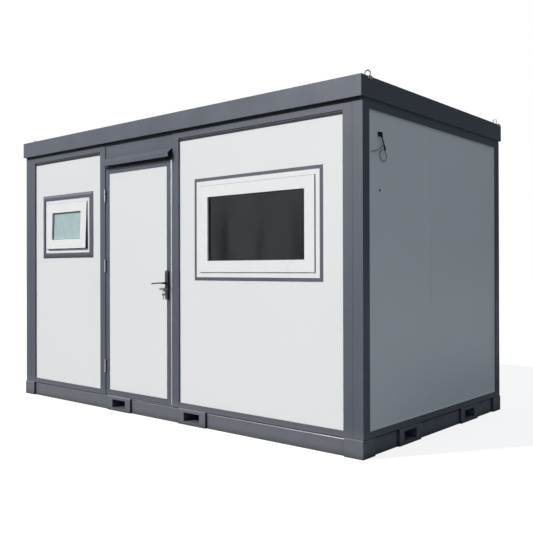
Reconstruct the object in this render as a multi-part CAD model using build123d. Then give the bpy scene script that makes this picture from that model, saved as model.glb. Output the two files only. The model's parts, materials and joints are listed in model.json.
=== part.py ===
from build123d import *
import math
import os

# Portable site cabin: a steel base with fork pockets, corner posts, a roof frame with lifting
# hoops, sandwich-panel walls in mitred trims, one outward door, two windows and a cable's end.
# X runs along the long side, the door is in the front wall at -Y, Z is up.
# The origin is the centre of the base's underside.

# The roof's outer faces, as half sizes, and how far the base and the posts stand in from them
roof_half_length = 2004
roof_half_width = 1124
base_end_setback = 6
base_front_setback = 20
post_end_setback = 9
post_front_setback = 28

# Fork pockets: mouth size, what is under and over it, where they lie, the plate round each
pocket_width = 175
pocket_height = 69
pocket_sill = 28
pocket_headroom = 28
pocket_wall = 4
pocket_plate_width = 310
pocket_sleeve_depth = 300
front_pocket_centre = -60
front_pocket_spacing = 914
end_pocket_spacing = 968

# Heights above the base
wall_height = 2211
roof_gap = 22
fascia_height = 142

# Walls
panel_thickness = 50
panel_recess = 12
panel_module = 1150
panel_joint = 2

# Clearances between neighbours, sheet thickness, and how far a cutter passes a face
fit = 0.5
mitre_gap = 0.3
sheet = 3
over = 1

# Trims round the wall panels: the full width, and what shows of it at the top and the bottom
trim_width = 75
top_trim_height = 44
bottom_trim_height = 42
trim_groove = 1

# Base frame
rail_setback = 16
rail_depth = 70
rail_sheet = 4
rail_bevel_depth = 8
rail_bevel_height = 15
corner_block_size = 150
corner_block_wall = 6
corner_block_edge = 6

# Floor
floor_covering_thickness = 2
floor_board_thickness = 18
joist_width = 40
joist_bottom = 20
joist_side_gap = 12
joist_bay = 450
fork_headroom = 1

# Posts
post_front_leg = 80
post_end_leg = 82
post_wall = 3

# Roof
fascia_sheet = 3
fascia_top_flange = 60
roof_ledge = 110
end_skirt_setback = 1
gap_seal_depth = 8
ceiling_thickness = 40
ceiling_margin = 8
purlin_height = 60
purlin_width = 40
purlin_count = 5
roof_sheet_thickness = 3
roof_rib_height = 22
roof_rib_pitch = 240
roof_rib_top = 60
roof_rib_slope = 24
roof_sheet_margin = 12

# Lifting hoops on the roof frame's end corners: the front pair leans, the back pair is upright
hoop_bar = 11
hoop_bar_sides = 12
hoop_width = 46
hoop_height = 54
hoop_inset_front = 104
hoop_inset_back = 58
hoop_setback = 34
hoop_front_turn = 40
hoop_front_lean = 25
hoop_back_turn = -20
hoop_foot = 46
hoop_foot_thickness = 5
hoop_foot_lip = 16

# Door opening and its lining
door_centre = -269
door_width = 882
header_height = 201
sill_thickness = 3
lining_sheet = 2
stop_width = 18
stop_gap = 5.5

# Door leaf
leaf_gap_hinge = 11
leaf_gap_latch = 7.5
leaf_gap_head = 5.5
leaf_gap_sill = 5.5
leaf_face_setback = 1
leaf_thickness = 45
leaf_stile = 44
leaf_panel_setback = 4
leaf_panel_seat = 10
leaf_panel_gap = 0.2
edge_strip_width = 16
edge_strip_setback = 2

# Hinges: the lowest above the leaf's bottom, the others below its top
hinge_low = 248.5
hinge_middle = 859.5
hinge_high = 239.5
hinge_length = 110
hinge_radius = 7
hinge_pin_radius = 3.5
hinge_running_clearance = 0.05
hinge_knuckle_gap = 0.3
hinge_plate_thickness = 2.5
hinge_plate_depth = 30
hinge_face_gap = 0.5
hinge_head_height = 3
hinge_axis_share = 0.6

# Lock and levers; the plate and the cylinder are placed from the lever's height
lock_backset = 52.5
lever_height = 1126
lock_plate_width = 40
lock_plate_thickness = 14
lock_plate_corner = 14
lock_plate_bevel = 4
lock_plate_above = 103
lock_plate_below = 136
lever_neck_radius = 9
lever_neck_length = 42
lever_length = 138
lever_grip_height = 11
lever_grip_depth = 12
lever_grip_edge = 2.5
lever_tip_drop = 6
lever_arch = 2
lever_running_gap = 0.3
spindle_size = 8
cylinder_drop = 57
cylinder_radius = 8.5
cylinder_stand = 4

# Keys: one in the cylinder, one hanging from the ring
key_thickness = 2.2
key_neck_length = 7
key_neck_height = 8
key_bow_radius = 12
key_hole_radius = 3
key_hole_inset = 5
key_ring_radius = 12
key_ring_wire = 1.1
key_ring_seat = 0.3
key_blade_length = 28
key_blade_height = 8
key_turn = 50

# Header and hood over the door, the hood's heights measured from the door head
header_setback = 5
hood_projection = 45
hood_wall_rise = 93
hood_front_rise = 49
hood_lip_rise = 15
hood_sheet = 3
hood_overhang = 4

# Windows: both use the same plastic sections
window_margin = 36
sash_face = 90
window_frame_depth = 60
window_frame_stand = 4
sash_depth = 52
sash_stand = 8
sash_gap = 3
sash_seat_width = 14
sash_seat_gap = 0.3
glass_thickness = 4
glass_space = 12
glass_setback = 18
glass_seat = 12

# Each window's place: its centre from the middle of its bay, and down from the wall's top
small_window_shift = 7.5
small_window_drop = 685.5
small_window_size = (711, 509)
small_sash_tilt = 2
big_window_shift = 2.5
big_window_drop = 786.5
big_window_size = (1196, 747)

# Painted surrounds on the wall panel: width, stand, and the sloping border's width and foot
small_surround_width = 48
small_surround_stand = 11
small_surround_slope = 24
small_surround_foot = 2
big_surround_width = 26
big_surround_stand = 3
big_surround_slope = 2
big_surround_foot = 1

# Cable's end on the right end wall; its place is measured from the front post and the wall's top
gland_inset = 138
gland_drop = 192
gland_flange_radius = 17
gland_flange_thickness = 4
gland_body_radius = 12
gland_body_length = 25
gland_edge = 3
gland_spout_radius = 8
cable_diameter = 9
core_diameter = 4.5
cord_sides = 12
arc_share = 0.45
wall_plug_inset = 146
wall_plug_drop = 570
wall_plug_radius = 9
wall_plug_stand = 3

# Routes from the gland's centre: out of the wall, towards the back, up
cable_route = [(16, 12, -21), (16, 27, -48), (17, 41, -79), (16, 54, -107)]
free_core_route = [(16.5, 34, -63.5), (20, 10, -79), (20, -13, -101), (17, -47, -116),
                   (13, -82, -126), (9, -112, -130)]
loop_core_lead = 21
loop_core_route = [(14, 76, -148), (12, 70, -172), (11, 48, -182), (12, 20, -178), (13, -3, -161),
                   (12, -10, -136), (10, 4, -114), (8, 28, -104)]

# Planes and heights that follow from the sizes above
base_half_length = roof_half_length - base_end_setback
base_half_width = roof_half_width - base_front_setback
post_half_length = roof_half_length - post_end_setback
post_half_width = roof_half_width - post_front_setback
base_height = pocket_sill + pocket_height + pocket_headroom
trim_top = base_height + wall_height
fascia_bottom = trim_top + roof_gap
roof_top = fascia_bottom + fascia_height
panel_face = post_half_width - panel_recess
panel_back = panel_face - panel_thickness
end_panel_face = post_half_length - panel_recess
end_panel_back = end_panel_face - panel_thickness
rail_face = base_half_width - rail_setback
end_rail_face = base_half_length - rail_setback
post_inner_x = post_half_length - post_front_leg
post_inner_y = post_half_width - post_end_leg
trim_outer_x = post_inner_x - trim_groove
floor_top = base_height + floor_covering_thickness
front_skirt_inset = roof_half_width - panel_face - fascia_sheet
end_skirt_inset = post_end_setback + end_skirt_setback
front_pockets = [front_pocket_centre + side * front_pocket_spacing / 2 for side in (-1, 1)]
end_pockets = [side * end_pocket_spacing / 2 for side in (-1, 1)]
door_left = door_centre - door_width / 2
door_right = door_centre + door_width / 2
door_head = trim_top - header_height
door_sill_top = base_height + sill_thickness
hinge_axis_x = door_left + leaf_gap_hinge * hinge_axis_share
hinge_axis_y = -(post_half_width + hinge_face_gap + hinge_radius)
leaf_left = door_left + leaf_gap_hinge
leaf_right = door_right - leaf_gap_latch
leaf_top = door_head - leaf_gap_head
leaf_bottom = door_sill_top + leaf_gap_sill
leaf_face = post_half_width - leaf_face_setback
leaf_back = leaf_face - leaf_thickness
hinge_heights = (leaf_bottom + hinge_low, leaf_top - hinge_middle, leaf_top - hinge_high)
lock_centre = leaf_right - lock_backset
cylinder_height = lever_height - cylinder_drop
small_window_centre = ((door_left - post_inner_x) / 2 + small_window_shift, trim_top - small_window_drop)
big_window_centre = ((door_right + post_inner_x) / 2 + big_window_shift, trim_top - big_window_drop)
gland_centre = (end_panel_face, -post_inner_y + gland_inset, trim_top - gland_drop)
wall_plug_centre = (end_panel_face, -post_inner_y + wall_plug_inset, trim_top - wall_plug_drop)


def box(x, y, z):
    """A box from three (low, high) pairs."""
    size = [abs(high - low) for low, high in (x, y, z)]
    middle = [(low + high) / 2 for low, high in (x, y, z)]
    return Pos(*middle) * Box(*size)


def prism(plane, points, start, length):
    """A straight prism of a polygon drawn on a plane, from a start height along its normal."""
    face = plane.offset(start) * make_face(Polyline(*points, close=True))
    return extrude(face, amount=length)


def mirrored(shape, plane):
    """The shape's mirror image in one of the centre planes."""
    return mirror(shape, about=plane)


def save(name, *solids):
    """Writes one node; several solids go in as one compound."""
    flat = [solid for item in solids for solid in item.solids()]
    shape = flat[0] if len(flat) == 1 else Compound(children=flat)
    export_step(shape, f"parts/{name}.step")


# Base frame

def rail_section():
    """The channel section of a base rail: distance in from its face, height."""
    t = rail_sheet
    slope = rail_bevel_height - t
    return [
        (0, 0), (rail_depth, 0), (rail_depth, t), (t, t), (t, base_height - rail_bevel_height - t / 2),
        (rail_bevel_depth + t, base_height - t), (rail_depth, base_height - t),
        (rail_depth, base_height), (rail_bevel_depth, base_height), (0, base_height - slope - t),
    ]


def rail_piece(start, end, face, along_x):
    """One length of base rail between two stations, its web outward at -Y or -X."""
    section = rail_section()
    if along_x:
        plane = Plane(origin=(start, -face, 0), x_dir=(0, 1, 0), z_dir=(1, 0, 0))
    else:
        plane = Plane(origin=(-face, end, 0), x_dir=(1, 0, 0), z_dir=(0, -1, 0))
    return prism(plane, section, 0, end - start)


def rail_run(pockets, reach, face, along_x):
    """The lengths of rail on one side, between the corner blocks and the pocket plates."""
    half_plate = pocket_plate_width / 2
    stops = [-reach] + [p + side * half_plate for p in pockets for side in (-1, 1)] + [reach]
    pieces = []
    for start, end in zip(stops[0::2], stops[1::2]):
        pieces.append(rail_piece(start + fit, end - fit, face, along_x))
    return pieces


def fork_pocket():
    """One pocket at -Y about x = 0: a pressed plate open at the back, and its square sleeve."""
    half = pocket_plate_width / 2
    back = -(rail_face - rail_depth)
    shell = box((-half, half), (-base_half_width, back), (0, base_height))
    shell = chamfer(shell.edges().filter_by(Axis.X).group_by(Axis.Y)[0].sort_by(Axis.Z)[-1],
                    rail_bevel_depth)
    hollow = box((-half + pocket_wall, half - pocket_wall),
                 (-base_half_width + rail_bevel_depth + pocket_wall, back),
                 (pocket_wall, base_height - pocket_wall))
    outer = pocket_width / 2 + pocket_wall
    low, high = pocket_sill, pocket_sill + pocket_height
    sleeve = box((-outer, outer), (-base_half_width, -base_half_width + pocket_sleeve_depth),
                 (low - pocket_wall, high + pocket_wall))
    tunnel = box((-pocket_width / 2, pocket_width / 2),
                 (-base_half_width - over, -base_half_width + pocket_sleeve_depth + over), (low, high))
    return shell - hollow + sleeve - tunnel


def end_fork_pocket():
    """The same pocket turned to the left end, moved out to the end's face."""
    turned = Rot(0, 0, -90) * fork_pocket()
    return Pos(-(base_half_length - base_half_width), 0, 0) * turned


def corner_block():
    """The hollow corner block at the front left, open underneath, with bevelled top edges."""
    x = (-base_half_length, -base_half_length + corner_block_size)
    y = (-base_half_width, -base_half_width + corner_block_size)
    block = box(x, y, (0, base_height))
    top = block.faces().sort_by(Axis.Z)[-1]
    outer_edges = [top.edges().sort_by(Axis.X)[0], top.edges().sort_by(Axis.Y)[0]]
    block = chamfer(outer_edges, corner_block_edge)
    w = corner_block_wall
    return block - box((x[0] + w, x[1] - w), (y[0] + w, y[1] - w), (-over, base_height - w))


def floor_joist(x):
    """A joist across the base at x, notched over the two fork tunnels that run end to end."""
    half = rail_face - rail_sheet - fit
    top = base_height - floor_board_thickness
    low = joist_bottom
    notch_top = pocket_sill + pocket_height + fork_headroom
    notch = pocket_width / 2 + joist_side_gap
    points = [(-half, low)]
    for centre in end_pockets:
        points += [(centre - notch, low), (centre - notch, notch_top)]
        points += [(centre + notch, notch_top), (centre + notch, low)]
    points += [(half, low), (half, top), (-half, top)]
    plane = Plane(origin=(x - joist_width / 2, 0, 0), x_dir=(0, 1, 0), z_dir=(1, 0, 0))
    return prism(plane, points, 0, joist_width)


def joist_places():
    """Joist centres: one each side of every front fork tunnel, then even bays to the ends."""
    beside = pocket_width / 2 + pocket_wall + joist_side_gap + joist_width / 2
    places = [p + s * beside for p in front_pockets for s in (-1, 1)]
    limit = base_half_length - corner_block_size - joist_width
    left, right = min(places) - joist_bay, max(places) + joist_bay
    while left > -limit:
        places.append(left)
        left -= joist_bay
    while right < limit:
        places.append(right)
        right += joist_bay
    return sorted(places)


# Posts and trims

def corner_post():
    """The folded post at the front right: an angle-shaped box section that fills the corner."""
    x0, x1 = post_inner_x, post_half_length
    y0, y1 = -post_half_width, -post_inner_y
    room_x, room_y = end_panel_back, -panel_back
    outline = [(x0, y0), (x1, y0), (x1, y1), (room_x, y1), (room_x, room_y), (x0, room_y)]
    face = make_face(Polyline(*outline, close=True))
    hollow = offset(face, amount=-post_wall, kind=Kind.INTERSECTION)
    return Pos(0, 0, base_height) * extrude(face - hollow, amount=trim_top - base_height)


def trim_member(points):
    """One folded trim: a capped channel on the outline given as (x, z), open at the back."""
    front = -post_half_width
    face = make_face(Polyline(*[(x, front, z) for x, z in points], close=True))
    body = extrude(face, amount=panel_recess, dir=(0, 1, 0))
    inner = offset(face, amount=-sheet, kind=Kind.INTERSECTION)
    hollow = extrude(Pos(0, sheet, 0) * inner, amount=panel_recess, dir=(0, 1, 0))
    return body - hollow


def panel_trims(x0, x1):
    """The four trims round a front panel, mitred at 45 degrees, between two stations."""
    z0, z1 = base_height, trim_top
    a0, a1 = x0 + trim_width, x1 - trim_width
    b0, b1 = z0 + bottom_trim_height, z1 - top_trim_height
    g = mitre_gap
    low = bottom_trim_height
    high = top_trim_height
    members = [
        [(a0 - low + g, z0), (a1 + low - g, z0), (a1 - g, b0), (a0 + g, b0)],
        [(a0 - high + g, z1), (a1 + high - g, z1), (a1 - g, b1), (a0 + g, b1)],
        [(x0, z0), (a0 - low - g, z0), (a0, b0 + g), (a0, b1 - g), (a0 - high - g, z1), (x0, z1)],
        [(x1, z0), (a1 + low + g, z0), (a1, b0 + g), (a1, b1 - g), (a1 + high + g, z1), (x1, z1)],
    ]
    return [trim_member(points) for points in members]


def end_trims():
    """The two trims of the left end, across the top and the bottom between the posts."""
    half = post_inner_y - fit
    pieces = []
    for low, high in ((base_height, base_height + bottom_trim_height),
                      (trim_top - top_trim_height, trim_top)):
        points = [(-half, low), (half, low), (half, high), (-half, high)]
        bar = Pos(0, post_half_width, 0) * trim_member(points)
        pieces.append(Pos(-post_half_length, 0, 0) * (Rot(0, 0, -90) * bar))
    return pieces


def wall_panel(x, z, holes=()):
    """A front wall panel between (low, high) stations, with rectangular holes cut through."""
    panel = box(x, (-panel_face, -panel_back), z)
    for centre, size in holes:
        hx, hz = size[0] / 2, size[1] / 2
        panel -= box((centre[0] - hx, centre[0] + hx), (-panel_face - over, -panel_back + over),
                     (centre[1] - hz, centre[1] + hz))
    return panel


def run_of_panels(start, end, face, back, along_x):
    """Standard panels from one end of a wall to the other, the last one cut to fit."""
    panels = []
    low = start
    while low < end - fit:
        high = min(low + panel_module, end)
        stop = high - panel_joint if high < end else high
        z = (base_height, trim_top)
        if along_x:
            panels.append(box((low, stop), (back, face), z))
        else:
            panels.append(box((back, face), (-stop, -low), z))
        low = high
    return panels


# Roof

def roof_section(skirt):
    """The folded roof beam: distance in from its outer face, height. Its skirt drops to the wall."""
    t = fascia_sheet
    return [
        (0, fascia_bottom), (skirt, fascia_bottom), (skirt, trim_top), (roof_ledge, trim_top),
        (roof_ledge, trim_top + t), (skirt + t, trim_top + t), (skirt + t, fascia_bottom + t),
        (t, fascia_bottom + t), (t, roof_top - t), (fascia_top_flange, roof_top - t),
        (fascia_top_flange, roof_top), (0, roof_top),
    ]


def roof_beam(half_length, half_width, skirt):
    """A roof beam along X at -Y, its ends cut on the mitre."""
    plane = Plane(origin=(-half_length, -half_width, 0), x_dir=(0, 1, 0), z_dir=(1, 0, 0))
    beam = prism(plane, roof_section(skirt), 0, 2 * half_length)
    g = mitre_gap
    outline = [(-half_length + g, -half_width), (half_length - g, -half_width),
               (half_length - roof_ledge - g, -half_width + roof_ledge),
               (-half_length + roof_ledge + g, -half_width + roof_ledge)]
    keep = prism(Plane.XY, outline, trim_top - over, roof_top - trim_top + 2 * over)
    return beam & keep


def end_roof_beam():
    """The roof beam of the left end, its skirt cut short to let the front and back seals pass."""
    beam = Rot(0, 0, -90) * roof_beam(roof_half_width, roof_half_length, end_skirt_inset)
    seal_back = roof_half_width - front_skirt_inset
    for side in (-1, 1):
        beam -= box((-roof_half_length, -roof_half_length + roof_ledge),
                    sorted((side * seal_back, side * roof_half_width)), (trim_top - over, fascia_bottom))
    return beam


def gap_seal():
    """The dark strip at the back of the shadow gap under the front fascia."""
    reach = roof_half_length - end_skirt_inset
    y = -roof_half_width + front_skirt_inset
    return box((-reach, reach), (y - gap_seal_depth, y), (trim_top, fascia_bottom))


def roof_covering():
    """The ribbed roof sheet, with its ribs across the cabin."""
    half = roof_half_length - fascia_top_flange - roof_sheet_margin
    half_y = roof_half_width - fascia_top_flange - roof_sheet_margin
    base = trim_top + fascia_sheet + ceiling_thickness + purlin_height
    count = int((2 * half - roof_rib_top) // roof_rib_pitch)
    start = -(count - 1) * roof_rib_pitch / 2
    line = [(-half, base)]
    for i in range(count):
        c = start + i * roof_rib_pitch
        low, high = roof_rib_top / 2 + roof_rib_slope, roof_rib_top / 2
        line += [(c - low, base), (c - high, base + roof_rib_height),
                 (c + high, base + roof_rib_height), (c + low, base)]
    line.append((half, base))
    upper = [(x, z + roof_sheet_thickness) for x, z in reversed(line)]
    plane = Plane(origin=(0, half_y, 0), x_dir=(1, 0, 0), z_dir=(0, -1, 0))
    return prism(plane, line + upper, 0, 2 * half_y)


def roof_purlins():
    """The purlins along the roof, on the ceiling panel and under the ribbed sheet."""
    half = roof_half_length - fascia_sheet - fit
    reach = roof_half_width - fascia_top_flange - roof_sheet_margin - purlin_width
    z = trim_top + fascia_sheet + ceiling_thickness
    pieces = []
    for i in range(purlin_count):
        y = -reach + 2 * reach * i / (purlin_count - 1)
        pieces.append(box((-half, half), (y - purlin_width / 2, y + purlin_width / 2),
                          (z, z + purlin_height)))
    return pieces


def lifting_hoop(y, turn, lean):
    """A bent-bar hoop at the right end, on a foot plate folded over the roof frame's edge."""
    x = roof_half_length - hoop_setback
    foot_y = (y - hoop_foot / 2, y + hoop_foot / 2)
    foot_top = roof_top + hoop_foot_thickness
    plate = box((x - hoop_foot / 2, roof_half_length), foot_y, (roof_top, foot_top))
    lip = box((roof_half_length, roof_half_length + hoop_foot_thickness), foot_y,
              (roof_top - hoop_foot_lip, foot_top))
    leg = hoop_height - hoop_width / 2
    reach = hoop_width / 2 - hoop_bar / 2
    start = (-reach, 0, -hoop_width / 2)
    path = Polyline(start, (-reach, 0, leg)) + ThreePointArc(
        (-reach, 0, leg), (0, 0, leg + reach), (reach, 0, leg)) + Polyline(
        (reach, 0, leg), (reach, 0, -hoop_width / 2))
    bar = sweep(Pos(*start) * RegularPolygon(hoop_bar / 2, hoop_bar_sides), path=path)
    placed = Pos(x, y, roof_top) * (Rot(0, 0, turn) * (Rot(0, lean, 0) * bar))
    above = box((x - hoop_height, x + hoop_height), (y - hoop_height, y + hoop_height),
                (roof_top + hoop_foot_thickness / 2, roof_top + 2 * hoop_height))
    return plate + lip + (placed & above)


# Door

def door_lining():
    """The lining of the door opening with its stop: an angle at each side and over the head."""
    z0, z1 = base_height, door_head
    stop_y = (-leaf_back + stop_gap, -panel_back)
    lining_y = (-post_half_width + sheet, -panel_back)
    pieces = []
    for edge, side in ((door_left, 1), (door_right, -1)):
        lining = box(sorted((edge, edge + side * lining_sheet)), lining_y, (door_sill_top, z1))
        stop = box(sorted((edge, edge + side * stop_width)), stop_y, (door_sill_top, z1))
        pieces.append(lining + stop)
    inner = (door_left + stop_width + fit, door_right - stop_width - fit)
    pieces.append(box(inner, stop_y, (z1 - stop_width, z1)))
    return pieces


def spindle_hole():
    """The hole through the leaf that clears the levers' necks and spindle."""
    plane = Plane(origin=(lock_centre, -leaf_face - over, lever_height), z_dir=(0, 1, 0))
    return extrude(plane * Circle(lever_neck_radius + lever_running_gap),
                   amount=leaf_thickness + 2 * over)


def leaf_frame():
    """The four mitred stiles and rails of the leaf, grooved to hold its panel."""
    x0, x1 = leaf_left, leaf_right - edge_strip_width
    z0, z1 = leaf_bottom, leaf_top
    a0, a1, b0, b1 = x0 + leaf_stile, x1 - leaf_stile, z0 + leaf_stile, z1 - leaf_stile
    g = mitre_gap
    outlines = [
        [(x0 + g, z0), (x1 - g, z0), (a1 - g, b0), (a0 + g, b0)],
        [(x0 + g, z1), (x1 - g, z1), (a1 - g, b1), (a0 + g, b1)],
        [(x0, z0 + g), (a0, b0 + g), (a0, b1 - g), (x0, z1 - g)],
        [(x1, z0 + g), (a1, b0 + g), (a1, b1 - g), (x1, z1 - g)],
    ]
    seat = leaf_panel_seat
    groove_y = (-leaf_face + leaf_panel_setback, -leaf_back - leaf_panel_setback)
    groove = box((a0 - seat, a1 + seat), groove_y, (b0 - seat, b1 + seat))
    pieces = []
    for outline in outlines:
        face = make_face(Polyline(*[(x, -leaf_face, z) for x, z in outline], close=True))
        stile = extrude(face, amount=leaf_thickness, dir=(0, 1, 0))
        pieces.append(stile - groove - spindle_hole())
    return pieces


def leaf_panel():
    """The leaf's insulated panel, seated in the frame's groove."""
    x0, x1 = leaf_left + leaf_stile, leaf_right - edge_strip_width - leaf_stile
    z0, z1 = leaf_bottom + leaf_stile, leaf_top - leaf_stile
    seat = leaf_panel_seat - fit
    inset = leaf_panel_setback + leaf_panel_gap
    y = (-leaf_face + inset, -leaf_back - inset)
    return box((x0 - seat, x1 + seat), y, (z0 - seat, z1 + seat)) - spindle_hole()


def edge_strip():
    """The bare metal strip down the leaf's latch edge."""
    y = (-leaf_face + edge_strip_setback, -leaf_back)
    return box((leaf_right - edge_strip_width, leaf_right), y, (leaf_bottom, leaf_top))


def hinge(z):
    """One hinge about its axis: the fixed half with its pin, and the moving half."""
    third = hinge_length / 3
    low = z - hinge_length / 2
    bands = [low + i * third for i in range(4)]
    gap = hinge_knuckle_gap / 2
    axis = Pos(hinge_axis_x, hinge_axis_y, 0)
    bore = hinge_pin_radius + hinge_running_clearance

    def knuckle(start, end):
        return axis * Pos(0, 0, (start + end) / 2) * Cylinder(hinge_radius, end - start)

    fixed = knuckle(bands[0], bands[1] - gap) + knuckle(bands[2] + gap, bands[3])
    pin = axis * Pos(0, 0, z) * Cylinder(hinge_pin_radius, hinge_length + 2 * hinge_head_height)
    fixed_x = (door_left + lining_sheet, door_left + lining_sheet + hinge_plate_thickness)
    moving_x = (leaf_left - hinge_plate_thickness, leaf_left)
    plate_front = -post_half_width - hinge_face_gap - hinge_radius / 2
    plate_back = -post_half_width + hinge_plate_depth
    clear_front = -post_half_width + hinge_plate_thickness
    plate = box(fixed_x, (plate_front, plate_back), (bands[0], bands[3]))
    plate -= box(fixed_x, (plate_front - over, clear_front), (bands[1] - gap, bands[2] + gap))
    fixed = fixed + pin + plate
    moving = knuckle(bands[1] + gap, bands[2] - gap)
    leaf_plate = box(moving_x, (plate_front, plate_back), (bands[0], bands[3]))
    for start, end in ((bands[0] - over, bands[1] + gap), (bands[2] - gap, bands[3] + over)):
        leaf_plate -= box(moving_x, (plate_front - over, clear_front), (start, end))
    moving = moving + leaf_plate - axis * Pos(0, 0, z) * Cylinder(bore, hinge_length + 2 * over)
    return fixed, moving


def lock_plate(face, outward):
    """A long lock plate with rounded ends and a bevelled edge, on one face of the leaf."""
    height = lock_plate_above + lock_plate_below
    middle = lever_height + (lock_plate_above - lock_plate_below) / 2
    plane = Plane(origin=(lock_centre, face, middle), x_dir=(1, 0, 0), z_dir=(0, outward, 0))
    plate = extrude(plane * RectangleRounded(lock_plate_width, height, lock_plate_corner),
                    amount=lock_plate_thickness)
    front = plate.faces().sort_by(Axis.Y)[0 if outward < 0 else -1]
    plate = chamfer(front.edges(), lock_plate_bevel)
    hole = Plane(origin=(lock_centre, face, lever_height), z_dir=(0, outward, 0))
    return plate - extrude(hole * Circle(lever_neck_radius + lever_running_gap), amount=lock_plate_thickness)


def lever_grip(y, outward):
    """The arched grip towards the hinge side, its outer face at y and its tip a little lower."""
    root = lock_centre + lever_neck_radius
    tip = lock_centre - lever_length
    middle = (root + tip) / 2
    half = lever_grip_height / 2
    drop = lever_tip_drop
    crown = lever_height - drop / 2 + lever_arch
    top = ThreePointArc((root, y, lever_height + half), (middle, y, crown + half),
                        (tip, y, lever_height - drop + half))
    bottom = ThreePointArc((tip, y, lever_height - drop - half), (middle, y, crown - half),
                           (root, y, lever_height - half))
    ends = [Line(top @ 1, bottom @ 0), Line(bottom @ 1, top @ 0)]
    grip = extrude(make_face([top, ends[0], bottom, ends[1]]), amount=lever_grip_depth,
                   dir=(0, -outward, 0))
    return chamfer(grip.edges().filter_by(Axis.Y, reverse=True), lever_grip_edge)


def lever_half(start, outward):
    """The neck and grip on one side of the door, from that face of the leaf."""
    plane = Plane(origin=(lock_centre, start, lever_height), z_dir=(0, outward, 0))
    reach = lock_plate_thickness + lever_neck_length
    neck = extrude(plane * Circle(lever_neck_radius), amount=reach - lever_grip_depth / 2)
    return neck + lever_grip(start + outward * reach, outward)


def levers():
    """Both levers on their square spindle, one piece that turns."""
    half = spindle_size / 2
    spindle = box((lock_centre - half, lock_centre + half), (-leaf_face - over, -leaf_back + over),
                  (lever_height - half, lever_height + half))
    return lever_half(-leaf_face, -1) + lever_half(-leaf_back, 1) + spindle


def key(blade_length, hole_z):
    """A key in the XZ plane with its bow at the origin, blade down, hole at the given height."""
    bow = Rot(90, 0, 0) * Cylinder(key_bow_radius, key_thickness)
    blade = box((-key_blade_height / 2, key_blade_height / 2), (-key_thickness / 2, key_thickness / 2),
                (-key_bow_radius - blade_length, 0))
    hole = Pos(0, 0, hole_z) * (Rot(90, 0, 0) * Cylinder(key_hole_radius, key_thickness + 2 * over))
    return bow + blade - hole


def keys():
    """The lock cylinder with a key in it, and a ring with a second key hanging from the bow."""
    face = -leaf_face - lock_plate_thickness
    plane = Plane(origin=(lock_centre, face, cylinder_height), z_dir=(0, -1, 0))
    cylinder = extrude(plane * Circle(cylinder_radius), amount=cylinder_stand)
    bow_y = face - cylinder_stand - key_neck_length - key_bow_radius
    hole_reach = key_bow_radius - key_hole_inset
    first = Rot(0, 0, 90) * (Rot(0, 90, 0) * key(key_neck_length + over, hole_reach))
    first = Pos(lock_centre, bow_y, cylinder_height) * (Rot(0, 0, 180) * first)
    hole_y = bow_y - hole_reach
    wire_z = cylinder_height - key_hole_radius + key_ring_wire - key_ring_seat
    ring_z = wire_z - key_ring_radius
    flat = Cylinder(key_ring_radius + key_ring_wire, 2 * key_ring_wire)
    flat -= Cylinder(key_ring_radius - key_ring_wire, 2 * key_ring_wire + 2 * over)
    split_ring = Pos(lock_centre, hole_y, ring_z) * (Rot(90, 0, 0) * flat)
    bow_z = ring_z - key_ring_radius + key_ring_wire - key_ring_seat - key_hole_radius - hole_reach
    second = Pos(lock_centre, hole_y, bow_z) * (Rot(0, 0, key_turn) * key(key_blade_length, hole_reach))
    return cylinder + first + split_ring + second


# Header and hood

def door_header():
    """The flat panel over the door, between the two trims."""
    y = (-post_half_width + header_setback, -panel_back)
    return box((door_left + fit, door_right - fit), y, (door_head, trim_top))


def door_hood():
    """The folded drip hood: a slope and a front lip, open at its ends and underneath."""
    face = -post_half_width + header_setback
    out = -post_half_width - hood_projection
    t = hood_sheet
    wall_top, front_top, lip = (door_head + rise for rise in (hood_wall_rise, hood_front_rise, hood_lip_rise))
    x0, x1 = door_left + hood_overhang, door_right - hood_overhang
    outer = [(face, wall_top), (out, front_top), (out, lip), (out + t, lip), (out + t, front_top - t),
             (face, wall_top - t)]
    plane = Plane(origin=(x0, 0, 0), x_dir=(0, 1, 0), z_dir=(1, 0, 0))
    return prism(plane, outer, 0, x1 - x0)


# Windows

def ring(size, width, front, back):
    """A plain rectangular ring about the origin in XZ, between two depths along Y."""
    outer = Plane.XZ * Rectangle(size[0], size[1])
    inner = Plane.XZ * Rectangle(size[0] - 2 * width, size[1] - 2 * width)
    return Pos(0, front, 0) * extrude(outer - inner, amount=back - front, dir=(0, 1, 0))


def window_surround(size, width, stand, slope, foot):
    """The painted surround about the origin, on the wall panel, with a border that slopes outward."""
    outer = (size[0] + 2 * width, size[1] + 2 * width)
    wall = Plane.XZ.offset(panel_face)
    plate = extrude(wall * Rectangle(*outer), amount=foot)
    border = loft([wall.offset(foot) * Rectangle(*outer),
                   wall.offset(stand) * Rectangle(outer[0] - 2 * slope, outer[1] - 2 * slope)], ruled=True)
    hole = wall.offset(-over) * Rectangle(size[0] + 2 * fit, size[1] + 2 * fit)
    return plate + border - extrude(hole, amount=stand + 2 * over)


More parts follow.
